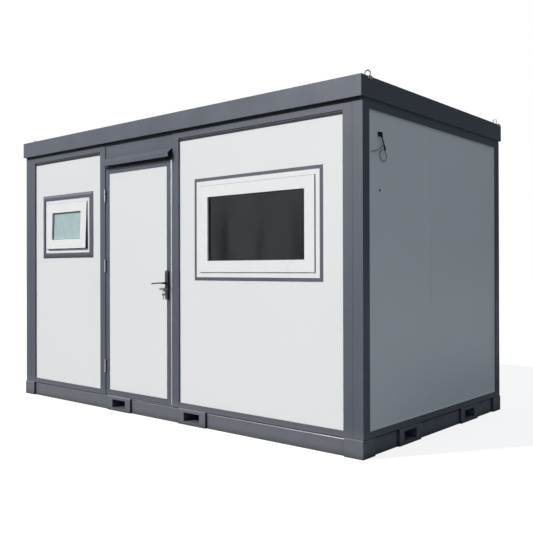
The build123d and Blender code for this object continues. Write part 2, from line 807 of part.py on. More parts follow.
def window(centre, size, surround, tilt):
    """A window's surround, frame, sash and panes, placed in the front wall."""
    place = Pos(centre[0], 0, centre[1])
    front = -panel_face - window_frame_stand
    sash_front = front - sash_stand
    sash_back = sash_front + sash_depth
    opening = (size[0] - 2 * window_margin, size[1] - 2 * window_margin)
    frame = ring(size, window_margin, front, front + window_frame_depth)
    frame += ring(opening, sash_seat_width, sash_back + sash_seat_gap, front + window_frame_depth)
    sash_size = (opening[0] - 2 * sash_gap, opening[1] - 2 * sash_gap)
    sash_width = sash_face - sash_gap
    sash = ring(sash_size, sash_width, sash_front, sash_back)
    glass_front = sash_front + glass_setback
    unit = [length - 2 * sash_width + 2 * glass_seat for length in sash_size]
    unit_depth = 2 * glass_thickness + glass_space
    sash -= box((-unit[0] / 2, unit[0] / 2), (glass_front, glass_front + unit_depth),
                (-unit[1] / 2, unit[1] / 2))
    pane = (unit[0] / 2 - fit, unit[1] / 2 - fit)
    panes = []
    for y in (glass_front, glass_front + glass_thickness + glass_space):
        panes.append(box((-pane[0], pane[0]), (y, y + glass_thickness), (-pane[1], pane[1])))
    hinge_line = Pos(0, sash_back, sash_size[1] / 2)
    lean = hinge_line * Rot(-tilt, 0, 0) * hinge_line.inverse()
    moved = [place * lean * piece for piece in panes]
    return place * surround, place * frame, place * lean * sash, moved


# Cable on the end wall

def from_gland(route):
    """A route's points in the cabin's frame."""
    return [Vector(*gland_centre) + Vector(*step) for step in route]


def cord(points, diameter):
    """A many-sided tube along straight runs, with an arc at each corner as large as its runs allow."""
    radii = []
    for before, corner, after in zip(points, points[1:], points[2:]):
        turn = (corner - before).get_angle(after - corner)
        shorter = min((corner - before).length, (after - corner).length)
        radii.append(arc_share * shorter / math.tan(math.radians(turn / 2)))
    path = FilletPolyline(*points, radius=radii)
    start = Plane(origin=points[0], z_dir=points[1] - points[0])
    section = start * RegularPolygon(diameter / 2, cord_sides)
    tube = sweep(section, path=path)
    print("cord", diameter, "mm, length", round(path.length, 1), "radii", [round(r) for r in radii],
          "volume over section times length", round(tube.volume / (section.area * path.length), 4))
    return tube


def cable_gland():
    """The gland in the right end wall: a flange, a round body and a spout towards the cable."""
    centre = Vector(*gland_centre)
    wall = Plane(origin=centre, z_dir=(1, 0, 0))
    flange = extrude(wall * Circle(gland_flange_radius), amount=gland_flange_thickness)
    body = extrude(wall * Circle(gland_body_radius), amount=gland_body_length)
    body = chamfer(body.faces().sort_by(Axis.X)[-1].edges(), gland_edge)
    first, second = from_gland(cable_route)[:2]
    middle = centre + Vector(cable_route[0][0], 0, 0)
    spout_end = Plane(origin=first, z_dir=first - second)
    spout = extrude(spout_end * Circle(gland_spout_radius), amount=(first - middle).length)
    return flange + body + spout


def cable_cords():
    """The cable from its gland, the free core from its side, and the core that loops from its end."""
    cable = from_gland(cable_route)
    onward = (cable[-1] - cable[-2]).normalized()
    loop = [cable[-1], cable[-1] + onward * loop_core_lead] + from_gland(loop_core_route)
    free = from_gland(free_core_route)
    return [cord(cable, cable_diameter), cord(free, core_diameter), cord(loop, core_diameter)]


def wall_plug():
    """The small round plug under the cable, on the right end wall."""
    plane = Plane(origin=wall_plug_centre, z_dir=(1, 0, 0))
    return extrude(plane * Circle(wall_plug_radius), amount=wall_plug_stand)


def build():
    """Models every piece and writes it."""
    os.makedirs("parts", exist_ok=True)

    # Base
    block_x = base_half_length - corner_block_size
    block_y = base_half_width - corner_block_size
    long_rails = rail_run(front_pockets, block_x, rail_face, True)
    short_rails = rail_run(end_pockets, block_y, end_rail_face, False)
    save("base_rails", *long_rails, *[mirrored(r, Plane.XZ) for r in long_rails],
         *short_rails, *[mirrored(r, Plane.YZ) for r in short_rails])
    long_pockets = [Pos(x, 0, 0) * fork_pocket() for x in front_pockets]
    short_pockets = [Pos(0, y, 0) * end_fork_pocket() for y in end_pockets]
    save("fork_pockets", *long_pockets, *[mirrored(p, Plane.XZ) for p in long_pockets],
         *short_pockets, *[mirrored(p, Plane.YZ) for p in short_pockets])
    block = corner_block()
    pair = [block, mirrored(block, Plane.YZ)]
    save("base_corner_blocks", *pair, *[mirrored(b, Plane.XZ) for b in pair])
    save("floor_joists", *[floor_joist(x) for x in joist_places()])
    board_x = end_rail_face - rail_depth - fit
    board_y = rail_face - rail_depth - fit
    board = box((-board_x, board_x), (-board_y, board_y),
                (base_height - floor_board_thickness, base_height))
    corner_x = base_half_length - corner_block_size - fit
    corner_y = base_half_width - corner_block_size - fit
    for sx in (-1, 1):
        for sy in (-1, 1):
            board -= box(sorted((sx * corner_x, sx * base_half_length)),
                         sorted((sy * corner_y, sy * base_half_width)), (0, base_height + over))
    save("floor_board", board)
    save("floor_covering", box((-end_panel_back + fit, end_panel_back - fit),
                               (-panel_back + fit, panel_back - fit), (base_height, floor_top)))

    # Posts
    post = corner_post()
    pair = [post, mirrored(post, Plane.YZ)]
    save("corner_posts", *pair, *[mirrored(p, Plane.XZ) for p in pair])

    # Walls and trims
    z = (base_height, trim_top)
    small_hole = (small_window_centre, small_window_size)
    big_hole = (big_window_centre, big_window_size)
    save("front_wall_left", wall_panel((-post_inner_x + fit, door_left), z, [small_hole]))
    save("front_wall_right", wall_panel((door_right, post_inner_x - fit), z, [big_hole]))
    save("back_wall", *run_of_panels(-post_inner_x + fit, post_inner_x - fit, panel_face,
                                     panel_back, True))
    right_panels = run_of_panels(-post_inner_y + fit, post_inner_y - fit, end_panel_face,
                                 end_panel_back, False)
    save("end_walls", *right_panels, *[mirrored(p, Plane.YZ) for p in right_panels])
    save("front_trims", *panel_trims(-trim_outer_x, door_left), *panel_trims(door_right, trim_outer_x))
    save("back_trim", *[mirrored(t, Plane.XZ) for t in panel_trims(-trim_outer_x, trim_outer_x)])
    ends = end_trims()
    save("end_trims", *ends, *[mirrored(t, Plane.YZ) for t in ends])

    # Roof
    front_beam = roof_beam(roof_half_length, roof_half_width, front_skirt_inset)
    end_beam = end_roof_beam()
    save("roof_beams", front_beam, mirrored(front_beam, Plane.XZ), end_beam,
         mirrored(end_beam, Plane.YZ))
    save("roof_gap_seal", gap_seal(), mirrored(gap_seal(), Plane.XZ))
    ceiling_x = roof_half_length - end_skirt_inset - fascia_sheet - ceiling_margin
    ceiling_y = panel_face - ceiling_margin
    ceiling_z = trim_top + fascia_sheet
    save("ceiling_panel", box((-ceiling_x, ceiling_x), (-ceiling_y, ceiling_y),
                              (ceiling_z, ceiling_z + ceiling_thickness)))
    save("roof_purlins", *roof_purlins())
    save("roof_sheet", roof_covering())
    hoops = [lifting_hoop(-roof_half_width + hoop_inset_front, hoop_front_turn, hoop_front_lean),
             lifting_hoop(roof_half_width - hoop_inset_back, hoop_back_turn, 0)]
    save("lifting_hoops", *hoops, *[mirrored(h, Plane.YZ) for h in hoops])

    # Door
    save("door_frame", *door_lining())
    save("door_sill", box((door_left, door_right), (-post_half_width, -panel_back),
                          (base_height, door_sill_top)))
    save("door_header", door_header())
    save("door_hood", door_hood())
    save("door_leaf_frame", *leaf_frame())
    save("door_leaf_panel", leaf_panel())
    save("door_edge_strip", edge_strip())
    halves = [hinge(z) for z in hinge_heights]
    save("door_hinges_fixed", *[fixed for fixed, moving in halves])
    save("door_hinges_moving", *[moving for fixed, moving in halves])
    save("door_lock_plates", lock_plate(-leaf_face, -1), lock_plate(-leaf_back, 1))
    save("door_keys", keys())
    save("door_levers", levers())

    # Windows
    surround = window_surround(small_window_size, small_surround_width, small_surround_stand,
                               small_surround_slope, small_surround_foot)
    small = window(small_window_centre, small_window_size, surround, small_sash_tilt)
    surround = window_surround(big_window_size, big_surround_width, big_surround_stand,
                               big_surround_slope, big_surround_foot)
    big = window(big_window_centre, big_window_size, surround, 0)
    for name, pieces in (("small_window", small), ("big_window", big)):
        surround, frame, sash, panes = pieces
        save(f"{name}_surround", surround)
        save(f"{name}_frame", frame)
        save(f"{name}_sash", sash)
        save(f"{name}_glass", *panes)

    # End wall fittings
    cable, free_core, loop_core = cable_cords()
    save("cable_gland", cable_gland())
    save("supply_cable", cable)
    save("cable_core_free", free_core)
    save("cable_core_loop", loop_core)
    save("wall_plug", wall_plug())


build()
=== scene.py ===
"""Portable site cabin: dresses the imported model, adds its small fittings, and sets up the studio."""

import json
import logging
import math
from dataclasses import dataclass, field
from enum import Enum

import bmesh
import bpy
from mathutils import Matrix, Vector


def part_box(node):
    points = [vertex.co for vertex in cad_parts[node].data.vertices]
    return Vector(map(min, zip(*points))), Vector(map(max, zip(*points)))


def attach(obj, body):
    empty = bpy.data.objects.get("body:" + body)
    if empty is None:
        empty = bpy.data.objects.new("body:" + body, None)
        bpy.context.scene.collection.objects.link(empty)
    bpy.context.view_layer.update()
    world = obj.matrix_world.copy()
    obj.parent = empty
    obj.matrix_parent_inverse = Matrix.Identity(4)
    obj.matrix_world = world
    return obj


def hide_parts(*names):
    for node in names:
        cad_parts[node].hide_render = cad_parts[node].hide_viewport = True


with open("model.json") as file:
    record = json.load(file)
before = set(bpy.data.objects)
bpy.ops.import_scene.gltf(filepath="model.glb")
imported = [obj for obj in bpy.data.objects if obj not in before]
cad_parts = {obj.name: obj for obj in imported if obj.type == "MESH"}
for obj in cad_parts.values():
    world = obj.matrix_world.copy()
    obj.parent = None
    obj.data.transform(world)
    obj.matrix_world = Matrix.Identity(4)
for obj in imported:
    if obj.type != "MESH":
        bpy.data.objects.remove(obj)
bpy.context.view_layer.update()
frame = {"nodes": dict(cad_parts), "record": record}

logging.basicConfig(level=logging.INFO, format="%(message)s")
log = logging.getLogger("site_cabin")

Colour = tuple[float, float, float]
Point = tuple[float, float, float]
Points = tuple[Point, ...]
Pair = tuple[float, float]
Pairs = tuple[Pair, ...]
Socket = bpy.types.NodeSocket
PICTURE_WIDTH = 533
MM = 0.001


class Body(Enum):
    """The moving bodies that a piece can ride on."""

    CABIN = "cabin"
    DOOR = "door"


class Way(Enum):
    """The outward direction of a face that something is fixed to."""

    FRONT = (0.0, -1.0, 0.0)
    BACK = (0.0, 1.0, 0.0)
    UP = (0.0, 0.0, 1.0)


class Nodes:
    """A node tree, with short calls for adding and joining nodes."""

    def __init__(self, tree: bpy.types.NodeTree, place: str) -> None:
        """Empties a tree and adds the coordinates that its textures use.

        Args:
            tree: the node tree.
            place: the coordinate output's name.
        """
        self.tree = tree
        self.tree.nodes.clear()
        self.place = self.add("ShaderNodeTexCoord").outputs[place]

    def add(self, kind: str, **settings: object) -> bpy.types.Node:
        """Adds a node and sets its properties.

        Args:
            kind: the node's type name.
            settings: properties of the node to set.

        Returns:
            The new node.
        """
        node = self.tree.nodes.new(kind)
        for key, value in settings.items():
            setattr(node, key, value)
        return node

    def join(self, source: Socket, target: Socket) -> None:
        """Links an output to an input."""
        self.tree.links.new(source, target)

    def feed(self, value: Socket | float | Colour, target: Socket) -> None:
        """Gives an input a link, a number or a colour.

        Args:
            value: what it gives.
            target: the input.
        """
        if isinstance(value, bpy.types.NodeSocket):
            self.join(value, target)
        else:
            target.default_value = (*value, 1.0) if isinstance(value, tuple) else value

    def noise(self, scale: float, detail: float = 3.0, stretch: Point = (1, 1, 1),
              rough: float = 0.5) -> Socket:
        """Adds a noise texture.

        Args:
            scale: features per metre, or per unit of direction in the world.
            detail: octaves.
            stretch: factors on the three axes, to draw the noise out.
            rough: weight of the fine octaves.

        Returns:
            The noise value's socket, about 0 to 1.
        """
        mapping = self.add("ShaderNodeMapping")
        mapping.inputs["Scale"].default_value = stretch
        self.join(self.place, mapping.inputs["Vector"])
        node = self.add("ShaderNodeTexNoise")
        for name, value in (("Scale", scale), ("Detail", detail), ("Roughness", rough)):
            node.inputs[name].default_value = value
        self.join(mapping.outputs["Vector"], node.inputs["Vector"])
        return node.outputs["Fac"]

    def span(self, value: Socket, low: float, high: float, out_low: float = 0.0,
             out_high: float = 1.0, smooth: bool = False) -> Socket:
        """Maps a value from one range to another, clamped.

        Args:
            value: the socket to map.
            low: input that gives out_low.
            high: input that gives out_high.
            out_low: result at the low end.
            out_high: result at the high end.
            smooth: whether the ends ease in and out.

        Returns:
            The mapped value's socket.
        """
        node = self.add("ShaderNodeMapRange", clamp=True,
                        interpolation_type="SMOOTHSTEP" if smooth else "LINEAR")
        for name, number in (("From Min", low), ("From Max", high), ("To Min", out_low),
                             ("To Max", out_high)):
            node.inputs[name].default_value = number
        self.join(value, node.inputs["Value"])
        return node.outputs["Result"]

    def calculate(self, operation: str, *values: Socket | float) -> Socket:
        """Adds a sum.

        Args:
            operation: the Math node's operation.
            values: its inputs in order, sockets or numbers.

        Returns:
            The result's socket.
        """
        node = self.add("ShaderNodeMath", operation=operation)
        for value, target in zip(values, node.inputs):
            self.feed(value, target)
        return node.outputs["Value"]

    def times(self, *factors: Socket | float) -> Socket:
        """Multiplies values.

        Args:
            factors: two or more sockets or numbers.

        Returns:
            The product's socket.
        """
        total = factors[0]
        for factor in factors[1:]:
            total = self.calculate("MULTIPLY", total, factor)
        return total

    def blend(self, share: Socket, first: Socket | Colour, second: Socket | Colour) -> Socket:
        """Mixes two colours.

        Args:
            share: the second colour's share.
            first: a colour or its socket.
            second: a colour or its socket.

        Returns:
            The mixed colour's socket.
        """
        node = self.add("ShaderNodeMix", data_type="RGBA")
        for value, target in zip((share, first, second), (0, 6, 7)):
            self.feed(value, node.inputs[target])
        return node.outputs[2]

    def between(self, share: Socket, first: Socket | float, second: Socket | float) -> Socket:
        """Mixes two numbers.

        Args:
            share: the second number's share.
            first: a number or its socket.
            second: a number or its socket.

        Returns:
            The mixed number's socket.
        """
        node = self.add("ShaderNodeMix", data_type="FLOAT")
        for value, target in zip((share, first, second), (0, 2, 3)):
            self.feed(value, node.inputs[target])
        return node.outputs[0]

    def either(self, share: Socket | float, first: bpy.types.Node,
               second: bpy.types.Node) -> bpy.types.Node:
        """Mixes two shaders.

        Args:
            share: the second shader's share.
            first: the node of the first shader.
            second: the node of the second shader.

        Returns:
            The mixing node.
        """
        node = self.add("ShaderNodeMixShader")
        self.feed(share, node.inputs["Fac"])
        self.join(first.outputs[0], node.inputs[1])
        self.join(second.outputs[0], node.inputs[2])
        return node

    def lit(self, kind: str, colour: Socket | Colour) -> bpy.types.Node:
        """Adds a plain shader or background of one colour.

        Args:
            kind: the node's type name.
            colour: its colour, or that colour's socket.

        Returns:
            The new node.
        """
        node = self.add(kind)
        self.feed(colour, node.inputs["Color"])
        return node

    def dot(self, first: Socket, second: Socket | Point) -> Socket:
        """The dot product of two directions.

        Args:
            first: a direction's socket.
            second: a direction or its socket.

        Returns:
            The product's socket.
        """
        node = self.add("ShaderNodeVectorMath", operation="DOT_PRODUCT")
        self.join(first, node.inputs[0])
        if isinstance(second, tuple):
            node.inputs[1].default_value = second
        else:
            self.join(second, node.inputs[1])
        return node.outputs["Value"]

    def height(self) -> Socket:
        """The place's Z: metres above the ground, or how far a direction points up.

        Returns:
            The value's socket.
        """
        split = self.add("ShaderNodeSeparateXYZ")
        self.join(self.place, split.inputs["Vector"])
        return split.outputs["Z"]


class Graph(Nodes):
    """A material's node tree round one Principled shader."""

    def __init__(self, name: str) -> None:
        """Makes an empty material with a Principled shader on its output.

        Args:
            name: the material's name.
        """
        self.material = bpy.data.materials.new(name)
        self.material.use_nodes = True
        super().__init__(self.material.node_tree, "Object")
        self.shader = self.add("ShaderNodeBsdfPrincipled")
        output = self.add("ShaderNodeOutputMaterial")
        self.join(self.shader.outputs["BSDF"], output.inputs["Surface"])

    def edges(self, radius: float, fullness: float = 0.12) -> Socket:
        """A mask that is 1 on sharp edges and 0 on flat faces.

        Args:
            radius: how far from an edge the mask reaches, in metres.
            fullness: how much the normal turns for the full mask.

        Returns:
            The mask's socket.
        """
        rounded = self.add("ShaderNodeBevel", samples=4)
        rounded.inputs["Radius"].default_value = radius
        flat = self.add("ShaderNodeNewGeometry")
        turned = self.dot(rounded.outputs["Normal"], flat.outputs["Normal"])
        return self.span(turned, 1.0 - 0.2 * fullness, 1.0 - fullness)

    def paint_recess_shade(self, tone: Socket, reach: float, depth: float) -> Socket:
        """Darkens a colour in corners and recesses as painted shade, where little light comes.

        Args:
            tone: the colour's socket.
            reach: how far out of a corner it reaches, in metres.
            depth: the share of the colour that is lost in a deep recess.

        Returns:
            The darkened colour's socket.
        """
        open_share = self.add("ShaderNodeAmbientOcclusion", samples=6)
        open_share.inputs["Distance"].default_value = reach
        share = self.span(open_share.outputs["AO"], 0.35, 0.95, depth, 0.0)
        # painted shade: closed-in places blend towards near black
        return self.blend(share, tone, (0.006, 0.006, 0.006))

    def cells(self, scale: float) -> Socket:
        """A grey of its own for each of many small cells.

        Args:
            scale: cells per metre.

        Returns:
            The grey value's socket.
        """
        cells = self.add("ShaderNodeTexVoronoi", feature="F1")
        cells.inputs["Scale"].default_value = scale
        self.join(self.place, cells.inputs["Vector"])
        grey = self.add("ShaderNodeRGBToBW")
        self.join(cells.outputs["Color"], grey.inputs["Color"])
        return grey.outputs["Val"]

    def bump(self, value: Socket, depth: float, strength: float = 1.0) -> None:
        """Adds a bump to the shader, on top of any that it has.

        Args:
            value: the height texture.
            depth: the height of its full range, in metres.
            strength: the bump's strength.
        """
        node = self.add("ShaderNodeBump")
        node.inputs["Strength"].default_value = strength
        node.inputs["Distance"].default_value = depth
        self.join(value, node.inputs["Height"])
        under = self.shader.inputs["Normal"]
        if under.is_linked:
            self.join(under.links[0].from_socket, node.inputs["Normal"])
        self.join(node.outputs["Normal"], under)

    def give(self, tone: Socket, roughness: Socket) -> None:
        """Gives the shader its colour and its roughness."""
        self.join(tone, self.shader.inputs["Base Color"])
        self.join(roughness, self.shader.inputs["Roughness"])

    def set(self, **values: object) -> None:
        """Sets constants on the shader's own sockets, with _ for a space in their names."""
        for key, value in values.items():
            self.feed(value, self.shader.inputs[key.replace("_", " ")])


def shaded(colour: Colour, factor: float) -> Colour:
    """A colour made lighter or darker by a factor."""
    return tuple(min(1.0, part * factor) for part in colour)


@dataclass(frozen=True)
class Finish:
    """A finish, with the name of its slot."""

    name: str

    def paint(self, g: Graph) -> None:
        """Sets up the material's nodes."""
        raise NotImplementedError

    def make(self) -> bpy.types.Material:
        """Builds the material.

        Returns:
            The material.
        """
        g = Graph(self.name)
        self.paint(g)
        return g.material


@dataclass(frozen=True)
class Paint(Finish):
    """Satin paint on folded steel: fine peel, colour drift, a lighter band low down that is partly dust
    and partly painted sheen, worn edges, painted shade in corners.
    """

    colour: Colour
    worn: Colour
    roughness: float = 0.36
    specular: float = 0.50
    drift: float = 0.04
    wear: float = 0.22
    dust_and_sheen: Colour = (0.42, 0.42, 0.425)
    dust_and_sheen_share: float = 0.15
    dust_and_sheen_top: float = 0.19
    dust_and_sheen_full: float = 0.10

    def paint(self, g: Graph) -> None:
        """Sets up the material's nodes.

        Args:
            g: the material's nodes.
        """
        tone = g.blend(g.span(g.noise(2.2, 4), 0.3, 0.7), shaded(self.colour, 1 - self.drift),
                       shaded(self.colour, 1 + self.drift))
        streak = g.span(g.noise(9.0, 3, (1.0, 1.0, 0.08)), 0.52, 0.75, 0.0, 0.25)
        tone = g.blend(streak, tone, shaded(self.colour, 1.12))
        # lighter towards the bottom: partly dust, partly painted sheen of the bright ground
        low = g.span(g.height(), self.dust_and_sheen_top, self.dust_and_sheen_full)
        patch = g.span(g.noise(11.0, 5), 0.25, 0.75, 0.75, 1.0)
        tone = g.blend(g.times(low, patch, self.dust_and_sheen_share), tone, self.dust_and_sheen)
        chips = g.span(g.noise(55.0, 4), 0.50, 0.62)
        tone = g.blend(g.times(g.edges(0.0025), chips, self.wear), tone, self.worn)
        # painted shade: corners and recesses darkened by ambient occlusion
        g.give(g.paint_recess_shade(tone, 0.055, 0.75),
               g.span(g.noise(5.0, 4), 0.3, 0.7, self.roughness - 0.06, self.roughness + 0.08))
        g.set(Specular_IOR_Level=self.specular)
        g.bump(g.noise(420.0, 2), 0.00012, 0.5)
        g.bump(g.noise(2.0, 2), 0.004, 0.10)


@dataclass(frozen=True)
class PanelSkin(Finish):
    """The coated steel skin of a sandwich panel: nearly flat, a little oil-canned, faintly stained."""

    colour: Colour
    stain: Colour = (0.60, 0.60, 0.55)
    roughness: float = 0.30

    def paint(self, g: Graph) -> None:
        """Sets up the material's nodes.

        Args:
            g: the material's nodes.
        """
        tone = g.blend(g.span(g.noise(1.1, 3), 0.3, 0.7), shaded(self.colour, 0.985), self.colour)
        spots = g.span(g.noise(7.0, 7, rough=0.62), 0.60, 0.82, 0.0, 0.035)
        tone = g.blend(spots, tone, self.stain)
        runs = g.span(g.noise(11.0, 3, (1.0, 1.0, 0.05)), 0.62, 0.84, 0.0, 0.03)
        tone = g.blend(runs, tone, shaded(self.stain, 0.85))
        low = g.span(g.height(), 0.34, 0.14, 0.0, 0.10)
        tone = g.blend(g.times(low, g.span(g.noise(18.0, 6), 0.4, 0.75)), tone, (0.52, 0.50, 0.46))
        rubbed = g.times(g.edges(0.002), g.span(g.noise(60.0, 3), 0.5, 0.65), 0.4)
        tone = g.blend(rubbed, tone, (0.45, 0.46, 0.47))
        g.give(tone, g.span(g.noise(4.0, 4), 0.3, 0.7, self.roughness - 0.02, self.roughness + 0.05))
        g.set(Specular_IOR_Level=0.42)
        g.bump(g.noise(350.0, 2), 0.0001, 0.3)
        g.bump(g.noise(1.6, 2, (1.0, 1.0, 0.5)), 0.006, 0.08)


@dataclass(frozen=True)
class Plastic(Finish):
    """Moulded or extruded plastic: glossy or matt, with a few scuffs and softly rubbed edges."""

    colour: Colour
    roughness: float
    scuff: Colour
    specular: float = 0.4

    def paint(self, g: Graph) -> None:
        """Sets up the material's nodes.

        Args:
            g: the material's nodes.
        """
        tone = g.blend(g.span(g.noise(6.0, 4), 0.3, 0.7), shaded(self.colour, 0.97), self.colour)
        scuffs = g.span(g.noise(26.0, 6, (1.0, 1.0, 0.3)), 0.62, 0.80, 0.0, 0.22)
        tone = g.blend(scuffs, tone, self.scuff)
        tone = g.blend(g.times(g.edges(0.0015), 0.18), tone, self.scuff)
        g.give(tone, g.span(g.noise(12.0, 4), 0.3, 0.7, self.roughness - 0.04, self.roughness + 0.10))
        g.set(Specular_IOR_Level=self.specular)
        g.bump(g.noise(600.0, 2), 0.00006, 0.4)


@dataclass(frozen=True)
class Galvanised(Finish):
    """Hot-dip galvanised steel: zinc spangle, cloudy patches and a dull grain."""

    colour: Colour
    roughness: float = 0.56

    def paint(self, g: Graph) -> None:
        """Sets up the material's nodes.

        Args:
            g: the material's nodes.
        """
        spangle = g.cells(130.0)
        tone = g.blend(spangle, shaded(self.colour, 0.82), shaded(self.colour, 1.12))
        cloud = g.span(g.noise(9.0, 5), 0.45, 0.75, 0.0, 0.5)
        tone = g.blend(cloud, tone, shaded(self.colour, 0.72))
        tone = g.blend(g.times(g.edges(0.0015), 0.5), tone, (0.78, 0.79, 0.80))
        g.give(tone, g.span(spangle, 0.0, 1.0, self.roughness - 0.08, self.roughness + 0.12))
        g.set(Metallic=0.65)
        g.bump(g.noise(260.0, 3), 0.0001, 0.4)


@dataclass(frozen=True)
class BrushedMetal(Finish):
    """Bare metal with a drawn grain along one axis, lighter on its rubbed edges."""

    colour: Colour
    roughness: float = 0.34
    along: Way = Way.UP
    metallic: float = 0.9

    def paint(self, g: Graph) -> None:
        """Sets up the material's nodes.

        Args:
            g: the material's nodes.
        """
        stretch = tuple(0.03 if abs(part) > 0.5 else 1.0 for part in self.along.value)
        grain = g.noise(700.0, 3, stretch)
        tone = g.blend(g.span(grain, 0.3, 0.7), shaded(self.colour, 0.88), self.colour)
        haze = g.span(g.noise(16.0, 5), 0.5, 0.8, 0.0, 0.35)
        tone = g.blend(haze, tone, shaded(self.colour, 0.66))
        tone = g.blend(g.times(g.edges(0.001), 0.5), tone, shaded(self.colour, 1.25))
        g.give(tone, g.span(grain, 0.3, 0.7, self.roughness - 0.07, self.roughness + 0.10))
        g.set(Metallic=self.metallic)
        g.bump(grain, 0.00006, 0.5)


@dataclass(frozen=True)
class Rubber(Finish):
    """Black rubber or cable sheath: dull, with bloom in patches and paler edges."""

    colour: Colour = (0.022, 0.022, 0.023)

    def paint(self, g: Graph) -> None:
        """Sets up the material's nodes.

        Args:
            g: the material's nodes.
        """
        bloom = g.span(g.noise(35.0, 5), 0.45, 0.8, 0.0, 0.4)
        tone = g.blend(bloom, self.colour, shaded(self.colour, 2.2))
        tone = g.blend(g.times(g.edges(0.0008), 0.4), tone, shaded(self.colour, 3.0))
        g.give(tone, g.span(g.noise(50.0, 3), 0.3, 0.7, 0.55, 0.75))
        g.set(Specular_IOR_Level=0.3)
        g.bump(g.noise(900.0, 2), 0.00005, 0.5)


@dataclass(frozen=True)
class ClearGlass(Finish):
    """Clear float glass with a patchy film of dust, tinted dark as painted shade of the room behind it.
    """

    # a dark tint that paints the shade of the room behind the glass
    painted_shade_tint: Colour = (0.35, 0.375, 0.39)

    def paint(self, g: Graph) -> None:
        """Sets up the material's nodes.

        Args:
            g: the material's nodes.
        """
        film = g.span(g.noise(5.0, 6, (1.0, 1.0, 0.35)), 0.45, 0.85)
        g.give(g.blend(film, self.painted_shade_tint, shaded(self.painted_shade_tint, 0.86)), g.span(film, 0.0, 1.0, 0.012, 0.06))
        g.set(Transmission_Weight=1.0, IOR=1.45, Specular_IOR_Level=0.40)
        g.bump(g.noise(1.5, 2), 0.002, 0.05)


@dataclass(frozen=True)
class FrostedGlass(Finish):
    """Etched obscure glass: pale green, pebbled, and lit through."""

    colour: Colour = (0.52, 0.66, 0.66)

    def paint(self, g: Graph) -> None:
        """Sets up the material's nodes.

        Args:
            g: the material's nodes.
        """
        pebble = g.noise(160.0, 3)
        tone = g.blend(g.span(g.noise(28.0, 5), 0.35, 0.7), shaded(self.colour, 0.92),
                       shaded(self.colour, 1.06))
        g.give(tone, g.span(pebble, 0.3, 0.7, 0.30, 0.48))
        g.set(Transmission_Weight=0.25, IOR=1.45, Specular_IOR_Level=0.35)
        g.bump(pebble, 0.0009, 0.6)


@dataclass(frozen=True)
class VinylFloor(Finish):
    """Speckled vinyl floor covering, scuffed in patches."""

    colour: Colour = (0.30, 0.30, 0.29)

    def paint(self, g: Graph) -> None:
        """Sets up the material's nodes.

        Args:
            g: the material's nodes.
        """
        tone = g.blend(g.span(g.cells(180.0), 0.2, 0.8), shaded(self.colour, 0.72),
                       shaded(self.colour, 1.25))
        walked = g.span(g.noise(3.0, 6), 0.45, 0.75, 0.0, 0.4)
        tone = g.blend(walked, tone, (0.40, 0.385, 0.36))
        g.give(tone, g.span(g.noise(6.0, 4), 0.3, 0.7, 0.45, 0.62))
        g.bump(g.noise(500.0, 2), 0.0001, 0.5)


@dataclass(frozen=True)
class BoardWood(Finish):
    """Pressed floor board, its long strands lying every way, darker at its cut edges."""

    colour: Colour = (0.42, 0.31, 0.20)

    def paint(self, g: Graph) -> None:
        """Sets up the material's nodes.

        Args:
            g: the material's nodes.
        """
        first = g.span(g.noise(60.0, 4, (0.15, 1.0, 1.0)), 0.35, 0.65)
        second = g.span(g.noise(60.0, 4, (1.0, 0.15, 1.0)), 0.35, 0.65)
        tone = g.blend(first, shaded(self.colour, 0.7), shaded(self.colour, 1.15))
        tone = g.blend(g.times(second, 0.5), tone, shaded(self.colour, 1.35))
        tone = g.blend(g.times(g.edges(0.003), 0.6), tone, shaded(self.colour, 0.45))
        g.give(tone, g.span(first, 0.0, 1.0, 0.6, 0.8))
        g.bump(first, 0.0004, 0.5)


class Finishes:
    """Every finish of the cabin, each made once and handed out by its slot's name."""

    def __init__(self) -> None:
        """Builds the materials."""
        grey = (0.084, 0.094, 0.118)
        recipes = [
            Paint("frame_paint", grey, (0.40, 0.41, 0.42)),
            PanelSkin("panel_skin", (0.785, 0.802, 0.804)),
            Plastic("window_plastic", (0.83, 0.835, 0.84), 0.30, (0.62, 0.62, 0.60)),
            ClearGlass("clear_glass"),
            FrostedGlass("frosted_glass"),
            Rubber("rubber_seal"),
            BoardWood("floor_board"),
            VinylFloor("floor_vinyl"),
            Galvanised("galvanised", (0.56, 0.57, 0.585)),
            BrushedMetal("hinge_steel", (0.62, 0.63, 0.65)),
            BrushedMetal("edge_aluminium", (0.66, 0.675, 0.70), 0.36),
            Paint("lock_black", (0.030, 0.031, 0.035), (0.30, 0.30, 0.31), drift=0.10, wear=0.6,
                  dust_and_sheen_share=0.0),
            BrushedMetal("key_steel", (0.50, 0.50, 0.51), 0.30),
            Rubber("cable_black"),
            Rubber("cable_core", (0.085, 0.080, 0.078)),
            Plastic("plug_brown", (0.24, 0.19, 0.15), 0.5, (0.33, 0.28, 0.24)),
            Plastic("sealant", (0.80, 0.80, 0.78), 0.5, (0.45, 0.44, 0.42)),
        ]
        self.made = {recipe.name: recipe.make() for recipe in recipes}

    def __getitem__(self, slot: str) -> bpy.types.Material:
        """The material of a slot."""
        return self.made[slot]


